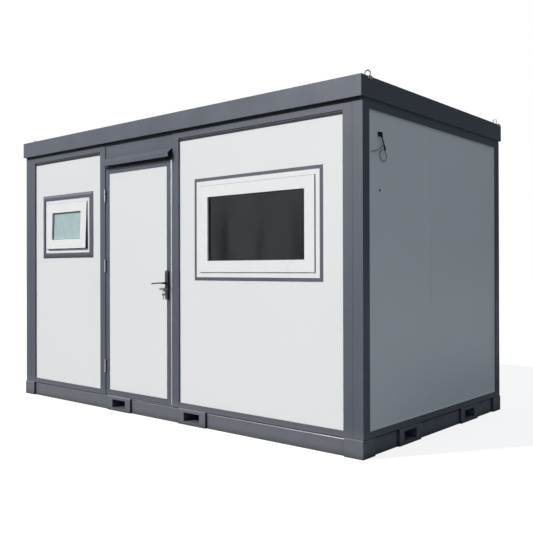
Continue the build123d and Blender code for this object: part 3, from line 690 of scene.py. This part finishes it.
@dataclass
class Kit:
    """What every sub-assembly builds with: the finishes, and the pieces made so far."""

    finishes: Finishes
    made: list[str] = field(default_factory=list)

    def dress(self, *nodes: str) -> None:
        """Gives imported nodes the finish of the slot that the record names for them.

        Args:
            nodes: the nodes' names.
        """
        slots = {part["node"]: part["material_slot"] for part in frame["record"]["subparts"]}
        for name in nodes:
            for holder in frame["nodes"][name].material_slots:
                holder.material = self.finishes[slots[name]]
            self.made.append(name)
            log.info("dressed %s with %s", name, slots[name])

    def add(self, name: str, shape: bmesh.types.BMesh, slot: str, body: Body = Body.CABIN,
            smooth: float = 35.0, record_slot: str | None = None) -> None:
        """Turns a shape into a piece that rides on a body.

        Args:
            name: the piece's name.
            shape: its mesh, which is used up.
            slot: the finish.
            body: the body that it rides on.
            smooth: faces that meet at less than this angle are shaded as one, in degrees.
            record_slot: the record's slot, where the finish isn't one of the record's; not used.
        """
        bmesh.ops.recalc_face_normals(shape, faces=shape.faces)
        mesh = bpy.data.meshes.new(name)
        shape.to_mesh(mesh)
        shape.free()
        mesh.materials.append(self.finishes[slot])
        piece = bpy.data.objects.new(name, mesh)
        bpy.context.scene.collection.objects.link(piece)
        for face in mesh.polygons:
            face.use_smooth = True
        mesh.set_sharp_from_angle(angle=math.radians(smooth))
        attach(piece, body.value)
        self.made.append(name)
        log.info("built %s, %d faces, on %s", name, len(mesh.polygons), body.value)

    def add_blocks(self, name: str, slot: str, blocks: list[tuple[Point, Point]],
                   body: Body = Body.CABIN, record_slot: str | None = None) -> None:
        """Adds a piece that is made of boxes alone.

        Args:
            name: the piece's name.
            slot: the finish.
            blocks: each box's lowest and highest corner.
            body: the body that it rides on.
            record_slot: the record's slot, where the finish isn't one of the record's.
        """
        shape = bmesh.new()
        for low, high in blocks:
            add_block(shape, low, high)
        self.add(name, shape, slot, body, record_slot=record_slot)


def turned_to(way: Point | Vector) -> Matrix:
    """The turn that takes +Z to a direction."""
    return Vector((0, 0, 1)).rotation_difference(Vector(way)).to_matrix().to_4x4()


def add_block(shape: bmesh.types.BMesh, low: Point, high: Point) -> None:
    """Adds a box to a shape.

    Args:
        shape: the mesh to add to.
        low: its lowest corner.
        high: its highest corner.
    """
    corners = [shape.verts.new((x, y, z)) for x in (low[0], high[0]) for y in (low[1], high[1])
               for z in (low[2], high[2])]
    for loop in ((0, 1, 3, 2), (4, 6, 7, 5), (0, 4, 5, 1), (2, 3, 7, 6), (0, 2, 6, 4), (1, 5, 7, 3)):
        shape.faces.new([corners[i] for i in loop])


def add_turning(shape: bmesh.types.BMesh, place: Matrix, outline: list[Pair],
                sides: int = 16, start_turn: float = 0.0) -> None:
    """Adds a closed turned form: an outline of radius and height, spun about the place's Z.

    Args:
        shape: the mesh to add to.
        place: where it stands and which way it points.
        outline: (radius, height) pairs from one end to the other.
        sides: flats round the axis.
        start_turn: turn of the first flat, in radians.
    """
    rings = []
    for radius, height in outline:
        ring = []
        for i in range(sides):
            angle = start_turn + 2 * math.pi * i / sides
            ring.append(shape.verts.new(place @ Vector((radius * math.cos(angle),
                                                        radius * math.sin(angle), height))))
        rings.append(ring)
    for lower, upper in zip(rings, rings[1:]):
        for i in range(sides):
            j = (i + 1) % sides
            shape.faces.new((lower[i], lower[j], upper[j], upper[i]))
    shape.faces.new(list(reversed(rings[0])))
    shape.faces.new(rings[-1])


class Head(Enum):
    """A fixing's head: for each turned form its sides and its outline, in shares of the radius."""

    RIVET = ((14, ((1.0, 0.0), (0.97, 0.147), (0.80, 0.315), (0.55, 0.42), (0.36, 0.42),
                   (0.32, 0.189))),)
    ROOF_SCREW = ((14, ((1.0, 0.0), (1.0, 0.14), (0.82, 0.30), (0.60, 0.34))),
                  (6, ((0.50, 0.34), (0.50, 0.76), (0.40, 0.84))))
    SCREW = ((16, ((1.0, 0.0), (0.85, 0.22), (0.45, 0.34), (0.40, 0.05))),)


def add_head(shape: bmesh.types.BMesh, head: Head, spot: Point, way: Way, radius: float) -> None:
    """Adds the head of a rivet or a screw.

    Args:
        shape: the mesh to add to.
        head: its form.
        spot: the point on the face that it sits on.
        way: the face's outward direction.
        radius: the head's radius.
    """
    place = Matrix.Translation(spot) @ turned_to(way.value)
    for sides, outline in head.value:
        add_turning(shape, place, [(radius * out, radius * up) for out, up in outline], sides)


def add_ring(shape: bmesh.types.BMesh, centre: Vector, half: Pair, width: float,
             front: float, back: float, swell: float = 0.0) -> None:
    """Adds a rectangular ring in the XZ plane, with an optional rounded front.

    Args:
        shape: the mesh to add to.
        centre: the ring's centre; only X and Z count.
        half: half the outer width and height.
        width: the band's width.
        front: the front face's Y.
        back: the back face's Y.
        swell: how far the middle of the band's front stands out.
    """
    steps = [(0.0, back), (0.0, front), (width * 0.5, front - swell), (width, front), (width, back)]
    loops = []
    for inset, y in steps:
        hx, hz = half[0] - inset, half[1] - inset
        loops.append([shape.verts.new((centre.x + sx * hx, y, centre.z + sz * hz))
                      for sx, sz in ((-1, -1), (1, -1), (1, 1), (-1, 1))])
    for outer, inner in zip(loops, loops[1:] + loops[:1]):
        for i in range(4):
            j = (i + 1) % 4
            shape.faces.new((outer[i], outer[j], inner[j], inner[i]))


@dataclass
class SteelFrame:
    """The painted steel: base rails, corner blocks, fork pockets, posts, trims and roof beams."""

    rivet_radius: float = 0.0032
    rivet_pitch: float = 0.42
    rivet_inset: float = 0.014
    trim_width: float = 0.075
    top_trim_height: float = 0.044
    front_bays: Pairs = ((-1.914, -0.710), (0.172, 1.914))
    panel_front: float = -1.084
    lip_height: float = 0.008
    lip_stand: float = 0.005
    lip_gap: float = 0.002
    seal_height: float = 0.0155
    seal_stand: float = 0.0022
    base_top: float = 0.125
    joint_height: float = 0.0085
    joint_depth: float = 0.0045
    joint_inset: float = 0.003
    rail_face: float = 1.088
    rail_end: float = 1.982
    front_spans: Pairs = ((-1.845, -0.6725), (-0.3615, 0.2415), (0.5525, 1.845))
    end_spans: Pairs = ((-0.953, -0.6395), (-0.3285, 0.3285), (0.6395, 0.953))
    post_joint: float = 1.9145
    post_joint_width: float = 0.0017
    joint_play: float = 0.0005
    post_joint_stand: float = 0.0003
    post_joint_depth: float = 0.004
    bead_height: float = 0.008
    bead_width: float = 0.004
    bead_stand: float = 0.006
    bead_end: float = 0.001
    bottom_trim_height: float = 0.042
    lip_play: float = 0.0004
    seal_gap: float = 0.0008

    def dress(self, kit: Kit) -> None:
        """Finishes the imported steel."""
        kit.dress("base_rails", "fork_pockets", "base_corner_blocks", "corner_posts", "front_trims",
                  "back_trim", "end_trims", "roof_beams", "roof_gap_seal")

    def build(self, kit: Kit) -> None:
        """Rivets the trims, and adds the lips, the sealing strips, partly painted shade under the
        trims, and the beads.

        Args:
            kit: the finishes and pieces.
        """
        low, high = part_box("front_trims")
        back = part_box("back_trim")
        runs = [(x + side * self.rivet_inset, low.y, Way.FRONT) for bay in self.front_bays
                for x, side in zip(bay, (1, -1))]
        runs += [(back[0].x + self.rivet_inset, back[1].y, Way.BACK),
                 (back[1].x - self.rivet_inset, back[1].y, Way.BACK)]
        shape = bmesh.new()
        count = round((high.z - low.z) / self.rivet_pitch)
        for x, face, way in runs:
            for i in range(count):
                z = low.z + (i + 0.5) * (high.z - low.z) / count
                add_head(shape, Head.RIVET, (x, face, z), way, self.rivet_radius)
        kit.add("trim_rivets", shape, "frame_paint")
        self.build_lips(kit, high.z - self.top_trim_height)
        self.build_joints(kit, low.z, high.z)
        self.build_beads(kit)

    def build_lips(self, kit: Kit, under: float) -> None:
        """Adds the folded lip and the black seal below each top trim of the front.

        Args:
            kit: the finishes and pieces.
            under: the height of the top trims' lower edge.
        """
        lip_top = under - self.lip_gap
        seal_top = lip_top - self.lip_height - self.seal_gap
        edge = self.trim_width + self.lip_play
        for name, slot, stand, height, top in (
                ("trim_lips", "frame_paint", self.lip_stand, self.lip_height, lip_top),
                ("trim_seals", "rubber_seal", self.seal_stand, self.seal_height, seal_top)):
            kit.add_blocks(name, slot, [((left + edge, self.panel_front - stand, top - height),
                                         (right - edge, self.panel_front, top))
                                        for left, right in self.front_bays])

    def build_joints(self, kit: Kit, low: float, high: float) -> None:
        """Adds the dark strips between the rails and the trims, seals that also paint the shade under
        the trims, and the dark sealing strips beside the posts.

        Args:
            kit: the finishes and pieces.
            low: the height of the posts' feet.
            high: the height of the posts' tops.
        """
        blocks = []
        z0, z1 = self.base_top - self.joint_height, self.base_top - self.joint_play
        for side in (-1, 1):
            y, x = (sorted(side * (face - self.joint_inset - depth)
                           for depth in (0.0, self.joint_depth))
                    for face in (self.rail_face, self.rail_end))
            blocks += [((start, y[0], z0), (end, y[1], z1)) for start, end in self.front_spans]
            blocks += [((x[0], start, z0), (x[1], end, z1)) for start, end in self.end_spans]
        # black strips under the trims: seals that also paint the trims' shadow on the rails
        kit.add_blocks("base_joint_seals", "rubber_seal", blocks)
        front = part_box("front_trims")[0].y
        half = self.post_joint_width / 2
        kit.add_blocks("post_joint_seals", "rubber_seal",
                       [((x - half, front - self.post_joint_stand, low),
                         (x + half, front + self.post_joint_depth, high))
                        for x in (-self.post_joint, self.post_joint)])

    def build_beads(self, kit: Kit) -> None:
        """Adds the sealant beads along the top, the bottom and the back edge of the end walls.

        Args:
            kit: the finishes and pieces.
        """
        low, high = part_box("end_trims")
        wall_low, wall_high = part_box("end_walls")
        top = high.z - self.top_trim_height
        bottom = low.z + self.bottom_trim_height
        front, back = wall_low.y + self.bead_end, wall_high.y - self.bead_end
        under, over = top - self.bead_height, bottom + self.bead_width
        upright = wall_high.y - self.bead_width
        blocks = []
        for side, face in ((-1, wall_low.x), (1, wall_high.x)):
            x0, x1 = sorted((face, face + side * self.bead_stand))
            blocks += [((x0, front, under), (x1, back, top)), ((x0, front, bottom), (x1, back, over)),
                       ((x0, upright, over), (x1, back, under))]
        kit.add_blocks("end_wall_beads", "sealant", blocks, record_slot="panel_skin")


@dataclass
class Walls:
    """The sandwich panels of the walls."""

    def dress(self, kit: Kit) -> None:
        """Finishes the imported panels."""
        kit.dress("front_wall_left", "front_wall_right", "back_wall", "end_walls")


@dataclass
class FloorAndBase:
    """The joists, the floor board and its covering."""

    def dress(self, kit: Kit) -> None:
        """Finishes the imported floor."""
        kit.dress("floor_joists", "floor_board", "floor_covering")


@dataclass
class Roof:
    """The ribbed sheet, its screws, the purlins, the ceiling and the lifting hoops."""

    screw_washer: float = 0.0085
    rib_pitch: float = 0.240
    rows: int = 5
    row_inset: float = 0.06

    def dress(self, kit: Kit) -> None:
        """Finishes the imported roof."""
        kit.dress("roof_sheet", "roof_purlins", "ceiling_panel", "lifting_hoops")

    def build(self, kit: Kit) -> None:
        """Screws the sheet down on its ribs, a row over each purlin.

        Args:
            kit: the finishes and pieces.
        """
        low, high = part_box("roof_sheet")
        middle = (low.x + high.x) / 2
        count = int((high.x - low.x - self.row_inset) // self.rib_pitch)
        shape = bmesh.new()
        for row in range(self.rows):
            y = low.y + self.row_inset + row * (high.y - low.y - 2 * self.row_inset) / (self.rows - 1)
            for i in range(count):
                x = middle + (i - (count - 1) / 2) * self.rib_pitch
                add_head(shape, Head.ROOF_SCREW, (x, y, high.z), Way.UP, self.screw_washer)
        kit.add("roof_screws", shape, "galvanised")


@dataclass
class Door:
    """The door: lining, sill, header and hood, the leaf, its hinges, lock, keys and levers."""

    seal_inset: float = 0.0115
    seal_width: float = 0.006
    seal_play: float = 0.0006
    stop_gap: float = 0.0055
    lock_screw_radius: float = 0.0034
    lock_screw_inset: float = 0.014
    bottom_seal_play: float = 0.0015
    bottom_seal_end: float = 0.004
    bottom_seal_depth: Pair = (0.0015, 0.008)
    # span, ends and stand of the black strip of painted shadow under the hood
    head_seal: Pair = (0.0005, 0.036)
    head_shade_end: float = 0.006
    head_shade_stand: float = 0.0025
    latch_height: float = 1.134
    latch_size: Pair = (0.011, 0.17)
    latch_plate: float = 0.0012

    def dress(self, kit: Kit) -> None:
        """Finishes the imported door.

        Args:
            kit: the finishes and pieces.
        """
        kit.dress("door_frame", "door_sill", "door_header", "door_hood", "door_leaf_frame",
                  "door_leaf_panel", "door_edge_strip", "door_hinges_fixed", "door_hinges_moving",
                  "door_lock_plates", "door_keys", "door_levers")

    def build(self, kit: Kit) -> None:
        """Adds the door's seals, a black strip of painted shade under the hood, the lock plates' screws
        and the latch's face plate.

        Args:
            kit: the finishes and pieces.
        """
        self.build_seal(kit)
        self.build_bottom_seal(kit)
        self.build_head_shade(kit)
        self.build_screws(kit)
        self.build_latch(kit)

    def build_seal(self, kit: Kit) -> None:
        """Adds the rubber seal on the stop that the shut leaf meets.

        Args:
            kit: the finishes and pieces.
        """
        low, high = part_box("door_frame")
        leaf_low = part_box("door_leaf_panel")[0]
        frame_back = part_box("door_leaf_frame")[1].y
        front, back = frame_back + self.seal_play, frame_back + self.stop_gap
        inset, width = self.seal_inset, self.seal_width
        base, top = leaf_low.z, high.z - inset
        kit.add_blocks("door_stop_seal", "rubber_seal", [
            ((low.x + inset, front, base), (low.x + inset + width, back, top)),
            ((high.x - inset - width, front, base), (high.x - inset, back, top)),
            ((low.x + inset + width, front, top - width),
             (high.x - inset - width, back, top))])

    def build_bottom_seal(self, kit: Kit) -> None:
        """Adds the black seal under the leaf, just clear of the sill.

        Args:
            kit: the finishes and pieces.
        """
        low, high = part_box("door_leaf_frame")
        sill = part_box("door_sill")[1].z
        end, (front, back) = self.bottom_seal_end, self.bottom_seal_depth
        kit.add_blocks("door_bottom_seal", "rubber_seal", [
            ((low.x + end, low.y + front, sill + self.bottom_seal_play),
             (high.x - end, high.y - back, low.z))], Body.DOOR)

    def build_head_shade(self, kit: Kit) -> None:
        """Adds the black strip over the door's head that paints the hood's shadow there.

        Args:
            kit: the finishes and pieces.
        """
        low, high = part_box("door_header")
        end, (bottom, top) = self.head_shade_end, self.head_seal
        # painted shadow: a black strip where the hood shades the header
        kit.add_blocks("door_head_seal", "rubber_seal", [
            ((low.x + end, low.y - self.head_shade_stand, low.z + bottom),
             (high.x - end, low.y, low.z + top))])

    def build_screws(self, kit: Kit) -> None:
        """Adds the raised countersunk screws at the ends of both lock plates.

        Args:
            kit: the finishes and pieces.
        """
        low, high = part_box("door_lock_plates")
        middle = (low.x + high.x) / 2
        shape = bmesh.new()
        for face, way in ((low.y, Way.FRONT), (high.y, Way.BACK)):
            for z in (low.z + self.lock_screw_inset, high.z - self.lock_screw_inset):
                add_head(shape, Head.SCREW, (middle, face, z), way, self.lock_screw_radius)
        kit.add("lock_screws", shape, "key_steel", Body.DOOR)

    def build_latch(self, kit: Kit) -> None:
        """Adds the lock's bright face plate on the leaf's latch edge.

        Args:
            kit: the finishes and pieces.
        """
        low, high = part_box("door_edge_strip")
        y = (low.y + high.y) / 2
        half_width, half_height = self.latch_size[0], self.latch_size[1] / 2
        kit.add_blocks("lock_face_plate", "key_steel", [
            ((high.x, y - half_width, self.latch_height - half_height),
             (high.x + self.latch_plate, y + half_width, self.latch_height + half_height))], Body.DOOR)


@dataclass
class Window:
    """One window: its painted surround, plastic frame and sash, double glass, gaskets and handle."""

    name: str
    centre: Pair
    size: Pair
    tilt: float
    handle_place: Pair
    handle_down: bool
    margin: float = 0.036
    sash_gap: float = 0.003
    sash_face: float = 0.090
    sash_front: float = -1.096
    sash_back: float = -1.044
    glass_front: float = -1.078
    glass_depth: float = 0.020
    pane: float = 0.004
    gasket_width: float = 0.0045
    gasket_stand: float = 0.0028
    rebate_width: float = 0.0013
    flange: float = 0.0022
    rebate_front: float = -1.0865
    rebate_back: float = -1.060
    rebate_play: float = 0.0002
    swell: float = 0.0006
    spacer_width: float = 0.011
    spacer_cover: float = 0.004
    handle_foot: Pair = (0.014, 0.033)
    foot_depth: float = 0.011
    neck: Pairs = ((0.0085, 0.0), (0.0085, 0.020), (0.007, 0.024))
    grip_stand: float = 0.029
    grip_reach: tuple[float, float, float] = (0.010, 0.112, 0.011)
    handle_edge: float = 0.002
    handle_edge_from: float = 0.008

    def dress(self, kit: Kit) -> None:
        """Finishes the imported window."""
        kit.dress(*[f"{self.name}_{part}" for part in ("surround", "frame", "sash", "glass")])

    def lean(self) -> Matrix:
        """The turn of the tilted sash about its top back edge.

        Returns:
            The turn.
        """
        top = self.centre[1] + self.size[1] / 2 - self.margin - self.sash_gap
        line = Matrix.Translation((self.centre[0], self.sash_back, top))
        return line @ Matrix.Rotation(math.radians(-self.tilt), 4, "X") @ line.inverted()

    def add_leaned(self, kit: Kit, name: str, shape: bmesh.types.BMesh, slot: str) -> None:
        """Leans a shape with the sash and adds it to the cabin.

        Args:
            kit: the finishes and pieces.
            name: the piece's name after the window's.
            shape: its mesh, as on an upright sash.
            slot: the finish.
        """
        bmesh.ops.transform(shape, matrix=self.lean(), verts=shape.verts)
        kit.add(f"{self.name}_{name}", shape, slot)

    def build(self, kit: Kit) -> None:
        """Adds the gaskets round the glass and the sash, the spacer between the panes, the handle.

        Args:
            kit: the finishes and pieces.
        """
        middle = Vector((self.centre[0], 0, self.centre[1]))
        inset = self.margin + self.sash_face
        half = (self.size[0] / 2 - inset, self.size[1] / 2 - inset)
        back = self.glass_front + self.glass_depth
        gaskets, spacer = bmesh.new(), bmesh.new()
        add_ring(gaskets, middle, half, self.gasket_width, self.glass_front - self.gasket_stand,
                 self.glass_front, self.swell)
        add_ring(gaskets, middle, half, self.gasket_width, back, back + self.gasket_stand)
        wide = (half[0] + self.spacer_cover, half[1] + self.spacer_cover)
        add_ring(spacer, middle, wide, self.spacer_width, self.glass_front + self.pane,
                 back - self.pane)
        rebate = bmesh.new()
        edge = tuple(side / 2 - self.margin - self.rebate_play for side in self.size)
        add_ring(rebate, middle, edge, self.rebate_width, self.rebate_front, self.rebate_back)
        kit.add(f"{self.name}_rebate_seal", rebate, "rubber_seal")
        edge = tuple(side - self.rebate_width - self.rebate_play for side in edge)
        add_ring(gaskets, middle, edge, self.rebate_width, self.sash_front + self.flange,
                 self.rebate_back)
        self.add_leaned(kit, "gaskets", gaskets, "rubber_seal")
        self.add_leaned(kit, "spacer", spacer, "edge_aluminium")
        self.build_handle(kit)

    def build_handle(self, kit: Kit) -> None:
        """Adds the handle on the sash's room side: a base, a neck and a flat grip.

        Args:
            kit: the finishes and pieces.
        """
        x, z = (self.centre[i] + self.handle_place[i] for i in (0, 1))
        across, along = self.handle_foot
        shape = bmesh.new()
        sides = (across, along) if self.handle_down else (along, across)
        foot_top = self.sash_back + self.foot_depth
        add_block(shape, (x - sides[0], self.sash_back, z - sides[1]),
                  (x + sides[0], foot_top, z + sides[1]))
        place = Matrix.Translation((x, foot_top, z)) @ turned_to(Way.BACK.value)
        add_turning(shape, place, list(self.neck), 18)
        grip_y = self.sash_back + self.grip_stand
        half, reach, thick = self.grip_reach
        if self.handle_down:
            low, high = (x - half, grip_y, z - reach), (x + half, grip_y + thick, z + thick)
        else:
            low, high = (x - reach, grip_y, z - half), (x + thick, grip_y + thick, z + half)
        add_block(shape, low, high)
        long_edges = [edge for edge in shape.edges if edge.calc_length() > self.handle_edge_from]
        bmesh.ops.bevel(shape, geom=long_edges, offset=self.handle_edge, segments=2, affect="EDGES",
                        clamp_overlap=True)
        self.add_leaned(kit, "handle", shape, "window_plastic")


@dataclass(frozen=True)
class Cord:
    """A free cord: its route's points, its diameter and length, and what it replaces."""

    name: str
    route: Points
    diameter: float
    length: float
    slot: str

    def build(self, kit: Kit) -> None:
        """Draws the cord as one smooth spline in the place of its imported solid.

        Args:
            kit: the finishes and pieces.
        """
        curve = bpy.data.curves.new(self.name + "_line", "CURVE")
        curve.dimensions = "3D"
        curve.bevel_depth = self.diameter / 2
        curve.bevel_resolution = 4
        curve.resolution_u = 10
        curve.use_fill_caps = True
        spline = curve.splines.new("NURBS")
        spline.points.add(len(self.route) - 1)
        for point, spot in zip(spline.points, self.route):
            point.co = (*spot, 1.0)
        spline.order_u = 3
        spline.use_endpoint_u = True
        curve.materials.append(kit.finishes[self.slot])
        piece = bpy.data.objects.new(self.name + "_cord", curve)
        bpy.context.scene.collection.objects.link(piece)
        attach(piece, Body.CABIN.value)
        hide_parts(self.name)
        kit.made.append(self.name)
        log.info("built %s, a cord of %.0f mm", self.name, self.length * 1000)


@dataclass
class EndWallFittings:
    """What is fixed to the right end wall: the cable in its gland, its bare cores, and a small plug."""

    gland: Point = (1.983, -0.876, 2.144)
    cable_steps: Points = ((16, 12, -21), (16, 27, -48), (17, 41, -79), (16, 54, -107))
    free_core_steps: Points = ((16.5, 34, -63.5), (20, 10, -79), (20, -13, -101),
                                          (17, -47, -116), (13, -82, -126), (9, -112, -130))
    loop_lead: float = 21
    loop_core_steps: Points = ((14, 76, -148), (12, 70, -172), (11, 48, -182), (12, 20, -178),
                                          (13, -3, -161), (12, -10, -136), (10, 4, -114), (8, 28, -104))
    cable_diameter: float = 0.009
    core_diameter: float = 0.0045
    cable_length: float = 0.0958
    free_core_length: float = 0.1645
    loop_core_length: float = 0.2240
    wrap_turns: int = 5
    wrap_start: float = 0.004
    wrap_end_radius: float = 0.0050
    wrap_radius: float = 0.0062
    wrap_wave: float = 0.0009
    wrap_phase: float = 2.3
    wrap_edge: float = 0.0006
    wrap_lap: float = 0.0005

    def dress(self, kit: Kit) -> None:
        """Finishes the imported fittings."""
        kit.dress("cable_gland", "wall_plug")

    def from_gland(self, steps: Points) -> list[Vector]:
        """Points given in millimetres from the gland's centre, in the cabin's frame."""
        return [Vector(self.gland) + Vector(step) * MM for step in steps]

    def build_cords(self, kit: Kit) -> None:
        """Draws the cable, the free core from its side, and the core that loops from its end.

        Args:
            kit: the finishes and pieces.
        """
        cable = self.from_gland(self.cable_steps)
        lead = cable[-1] + (cable[-1] - cable[-2]).normalized() * self.loop_lead * MM
        loop = [cable[-1], lead] + self.from_gland(self.loop_core_steps)
        free = self.from_gland(self.free_core_steps)
        for name, route, diameter, length, slot in (
                ("supply_cable", cable, self.cable_diameter, self.cable_length, "cable_black"),
                ("cable_core_free", free, self.core_diameter, self.free_core_length, "cable_core"),
                ("cable_core_loop", loop, self.core_diameter, self.loop_core_length, "cable_core")):
            Cord(name, tuple(tuple(spot) for spot in route), diameter, length, slot).build(kit)

    def build(self, kit: Kit) -> None:
        """Wraps tape round the cable where its cores part.

        Args:
            kit: the finishes and pieces.
        """
        cable = self.from_gland(self.cable_steps)
        start, end = cable[2], cable[3]
        along = (end - start).normalized()
        place = Matrix.Translation(start - along * self.wrap_start) @ turned_to(along)
        reach = (end - start).length
        outline = [(self.wrap_end_radius, 0.0)]
        for i in range(self.wrap_turns):
            low = reach * i / self.wrap_turns
            high = reach * (i + 1) / self.wrap_turns
            radius = self.wrap_radius + self.wrap_wave * math.sin(self.wrap_phase * i)
            outline += [(radius, low + self.wrap_edge),
                        (radius + self.wrap_lap, high - self.wrap_edge)]
        outline.append((self.wrap_end_radius, reach))
        shape = bmesh.new()
        add_turning(shape, place, outline, 16)
        kit.add("cable_wrap", shape, "cable_black", smooth=25.0)


@dataclass
class Studio:
    """The camera at the photograph's place, one sun, the sky and a pale floor."""

    camera_place: Point = (4.5388, -5.0466, 1.2385)
    camera_yaw: float = 40.41
    camera_pitch: float = 0.20
    camera_roll: float = -0.135
    focal_pixels: float = 719.56
    sensor: float = 36.0
    sun_from: Point = (-0.444, -0.682, 0.581)
    sun_strength: float = 3.42
    sun_colour: Colour = (1.0, 0.965, 0.935)
    sun_angle: float = 1.5
    sky_colour: Colour = (0.298, 0.342, 0.394)
    gloss_front: Colour = (1.10, 1.18, 1.28)
    gloss_back: Colour = (0.085, 0.09, 0.095)
    bright_way: Point = (-0.90, -0.43, 0.0)
    block_way: Point = (-0.785, -0.619, 0.0)
    block_tone: float = 0.30
    glow_way: Point = (-0.350, -0.936, -0.04)
    glow_gain: float = 5.5
    high_gain: float = 1.4
    horizon_tone: float = 0.30
    bright_edge: Pair = (-0.1, 0.7)
    skyline_depth: float = -0.10
    skyline_edge: Pair = (0.0, 0.06)
    bar_edge: Pair = (0.40, 0.60)
    bar_tones: Pair = (0.10, 1.9)
    block_edge: Pair = (0.955, 0.975)
    block_top: Pair = (0.20, 0.12)
    glow_edge: Pair = (0.966, 0.986)
    high_edge: Pair = (0.45, 0.62)
    floor_grey: Colour = (0.16, 0.165, 0.17)
    floor_gloss_grey: Colour = (0.40, 0.40, 0.40)
    floor_pale: Colour = (0.9, 0.9, 0.9)
    floor_glow: float = 0.70
    floor_glow_strength: float = 1.19
    floor_half: float = 60.0

    def set_camera(self) -> None:
        """Makes the camera and gives it to the scene."""
        data = bpy.data.cameras.new("photo_camera")
        data.sensor_width = self.sensor
        data.lens = self.sensor * self.focal_pixels / PICTURE_WIDTH
        data.clip_end = 300.0
        camera = bpy.data.objects.new("photo_camera", data)
        bpy.context.scene.collection.objects.link(camera)
        turn = (Matrix.Rotation(math.radians(self.camera_yaw), 4, "Z")
                @ Matrix.Rotation(math.radians(90.0 + self.camera_pitch), 4, "X")
                @ Matrix.Rotation(math.radians(self.camera_roll), 4, "Z"))
        camera.matrix_world = Matrix.Translation(self.camera_place) @ turn
        bpy.context.scene.camera = camera

    def set_lamps(self) -> None:
        """Makes the sun."""
        data = bpy.data.lights.new("key_sun", "SUN")
        data.energy = self.sun_strength
        data.color = self.sun_colour
        data.angle = math.radians(self.sun_angle)
        lamp = bpy.data.objects.new("key_sun", data)
        lamp.rotation_euler = Vector(self.sun_from).to_track_quat("Z", "Y").to_euler()
        bpy.context.scene.collection.objects.link(lamp)

    def set_world(self) -> None:
        """Makes the sky: white to the camera, one of its own to gloss, plain to all other rays."""
        world = bpy.data.worlds.new("studio_world")
        bpy.context.scene.world = world
        world.use_nodes = True
        g = Nodes(world.node_tree, "Generated")
        path = g.add("ShaderNodeLightPath").outputs
        sky = g.lit("ShaderNodeBackground", self.sky_colour)
        gloss = g.lit("ShaderNodeBackground", self.gloss_tone(g))
        white = g.lit("ShaderNodeBackground", (1.0, 1.0, 1.0))
        seen = g.calculate("MAXIMUM", path["Is Camera Ray"], path["Is Transmission Ray"])
        unseen = g.either(path["Is Glossy Ray"], sky, gloss)
        output = g.add("ShaderNodeOutputWorld")
        g.join(g.either(seen, unseen, white).outputs[0], output.inputs["Surface"])

    def gloss_tone(self, g: Nodes) -> Socket:
        """The sky that gloss shows: bright on one side, with a broken skyline and one dark block.

        Args:
            g: the world's nodes.

        Returns:
            The colour's socket.
        """
        height = g.height()
        bright = g.span(g.dot(g.place, self.bright_way), *self.bright_edge, smooth=True)
        around = g.blend(bright, self.gloss_back, self.gloss_front)
        rise = g.calculate("MULTIPLY_ADD", g.noise(4.0, 3.0, (1.0, 1.0, 0.0)),
                           self.skyline_depth, height)
        above = g.span(rise, *self.skyline_edge, smooth=True)
        bars = g.span(g.noise(26.0, 3.0, (1.0, 1.0, 0.10)), *self.bar_edge, *self.bar_tones,
                      smooth=True)
        tone = g.between(above, g.times(bars, self.horizon_tone), 1.0)
        block = g.times(g.span(g.dot(g.place, self.block_way), *self.block_edge, smooth=True),
                        g.span(height, *self.block_top, smooth=True))
        dark = g.between(block, tone, g.times(bars, self.block_tone))
        glow = g.span(g.dot(g.place, self.glow_way), *self.glow_edge, 1.0, self.glow_gain,
                      smooth=True)
        high = g.span(height, *self.high_edge, 1.0, self.high_gain, smooth=True)
        final = g.add("ShaderNodeVectorMath", operation="SCALE")
        g.join(around, final.inputs["Vector"])
        g.join(g.times(dark, glow, high), final.inputs["Scale"])
        return final.outputs["Vector"]

    def set_floor(self) -> None:
        """Makes the floor, pale to the camera, with the cabin's shadow kept faint on it."""
        mesh = bpy.data.meshes.new("studio_floor")
        half = self.floor_half
        mesh.from_pydata([(-half, -half, 0), (half, -half, 0), (half, half, 0), (-half, half, 0)],
                         [], [(0, 1, 2, 3)])
        floor = bpy.data.objects.new("studio_floor", mesh)
        bpy.context.scene.collection.objects.link(floor)
        material = bpy.data.materials.new("floor_pale")
        material.use_nodes = True
        g = Nodes(material.node_tree, "Object")
        path = g.add("ShaderNodeLightPath").outputs
        plain = g.lit("ShaderNodeBsdfDiffuse", self.floor_grey)
        paving = g.lit("ShaderNodeBsdfDiffuse", self.floor_gloss_grey)
        pale = g.lit("ShaderNodeBsdfDiffuse", self.floor_pale)
        glow = g.add("ShaderNodeEmission")
        glow.inputs["Strength"].default_value = self.floor_glow_strength
        unseen = g.either(path["Is Glossy Ray"], plain, paving)
        seen = g.either(self.floor_glow, pale, glow)
        output = g.add("ShaderNodeOutputMaterial")
        g.join(g.either(path["Is Camera Ray"], unseen, seen).outputs[0], output.inputs["Surface"])
        mesh.materials.append(material)

    def build(self) -> None:
        """Sets up everything that isn't the object."""
        self.set_camera()
        self.set_lamps()
        self.set_world()
        self.set_floor()
        bpy.context.scene.view_settings.view_transform = "Standard"
        log.info("studio ready")


def main() -> None:
    """Builds the studio and every sub-assembly in order, and reports each piece."""
    Studio().build()
    kit = Kit(Finishes())
    steel, walls, floor, roof, door = SteelFrame(), Walls(), FloorAndBase(), Roof(), Door()
    small = Window("small_window", (-1.305, 1.6505), (0.711, 0.509), 2.0, (0.0, -0.175), False)
    big = Window("big_window", (1.046, 1.5495), (1.196, 0.747), 0.0, (0.517, 0.0), True)
    fittings = EndWallFittings()
    fittings.build_cords(kit)
    for assembly in (steel, walls, floor, roof, door, small, big, fittings):
        assembly.dress(kit)
    for assembly in (steel, roof, door, small, big, fittings):
        assembly.build(kit)
    log.info("%d pieces", len(kit.made))


if __name__ == "__main__":
    main()
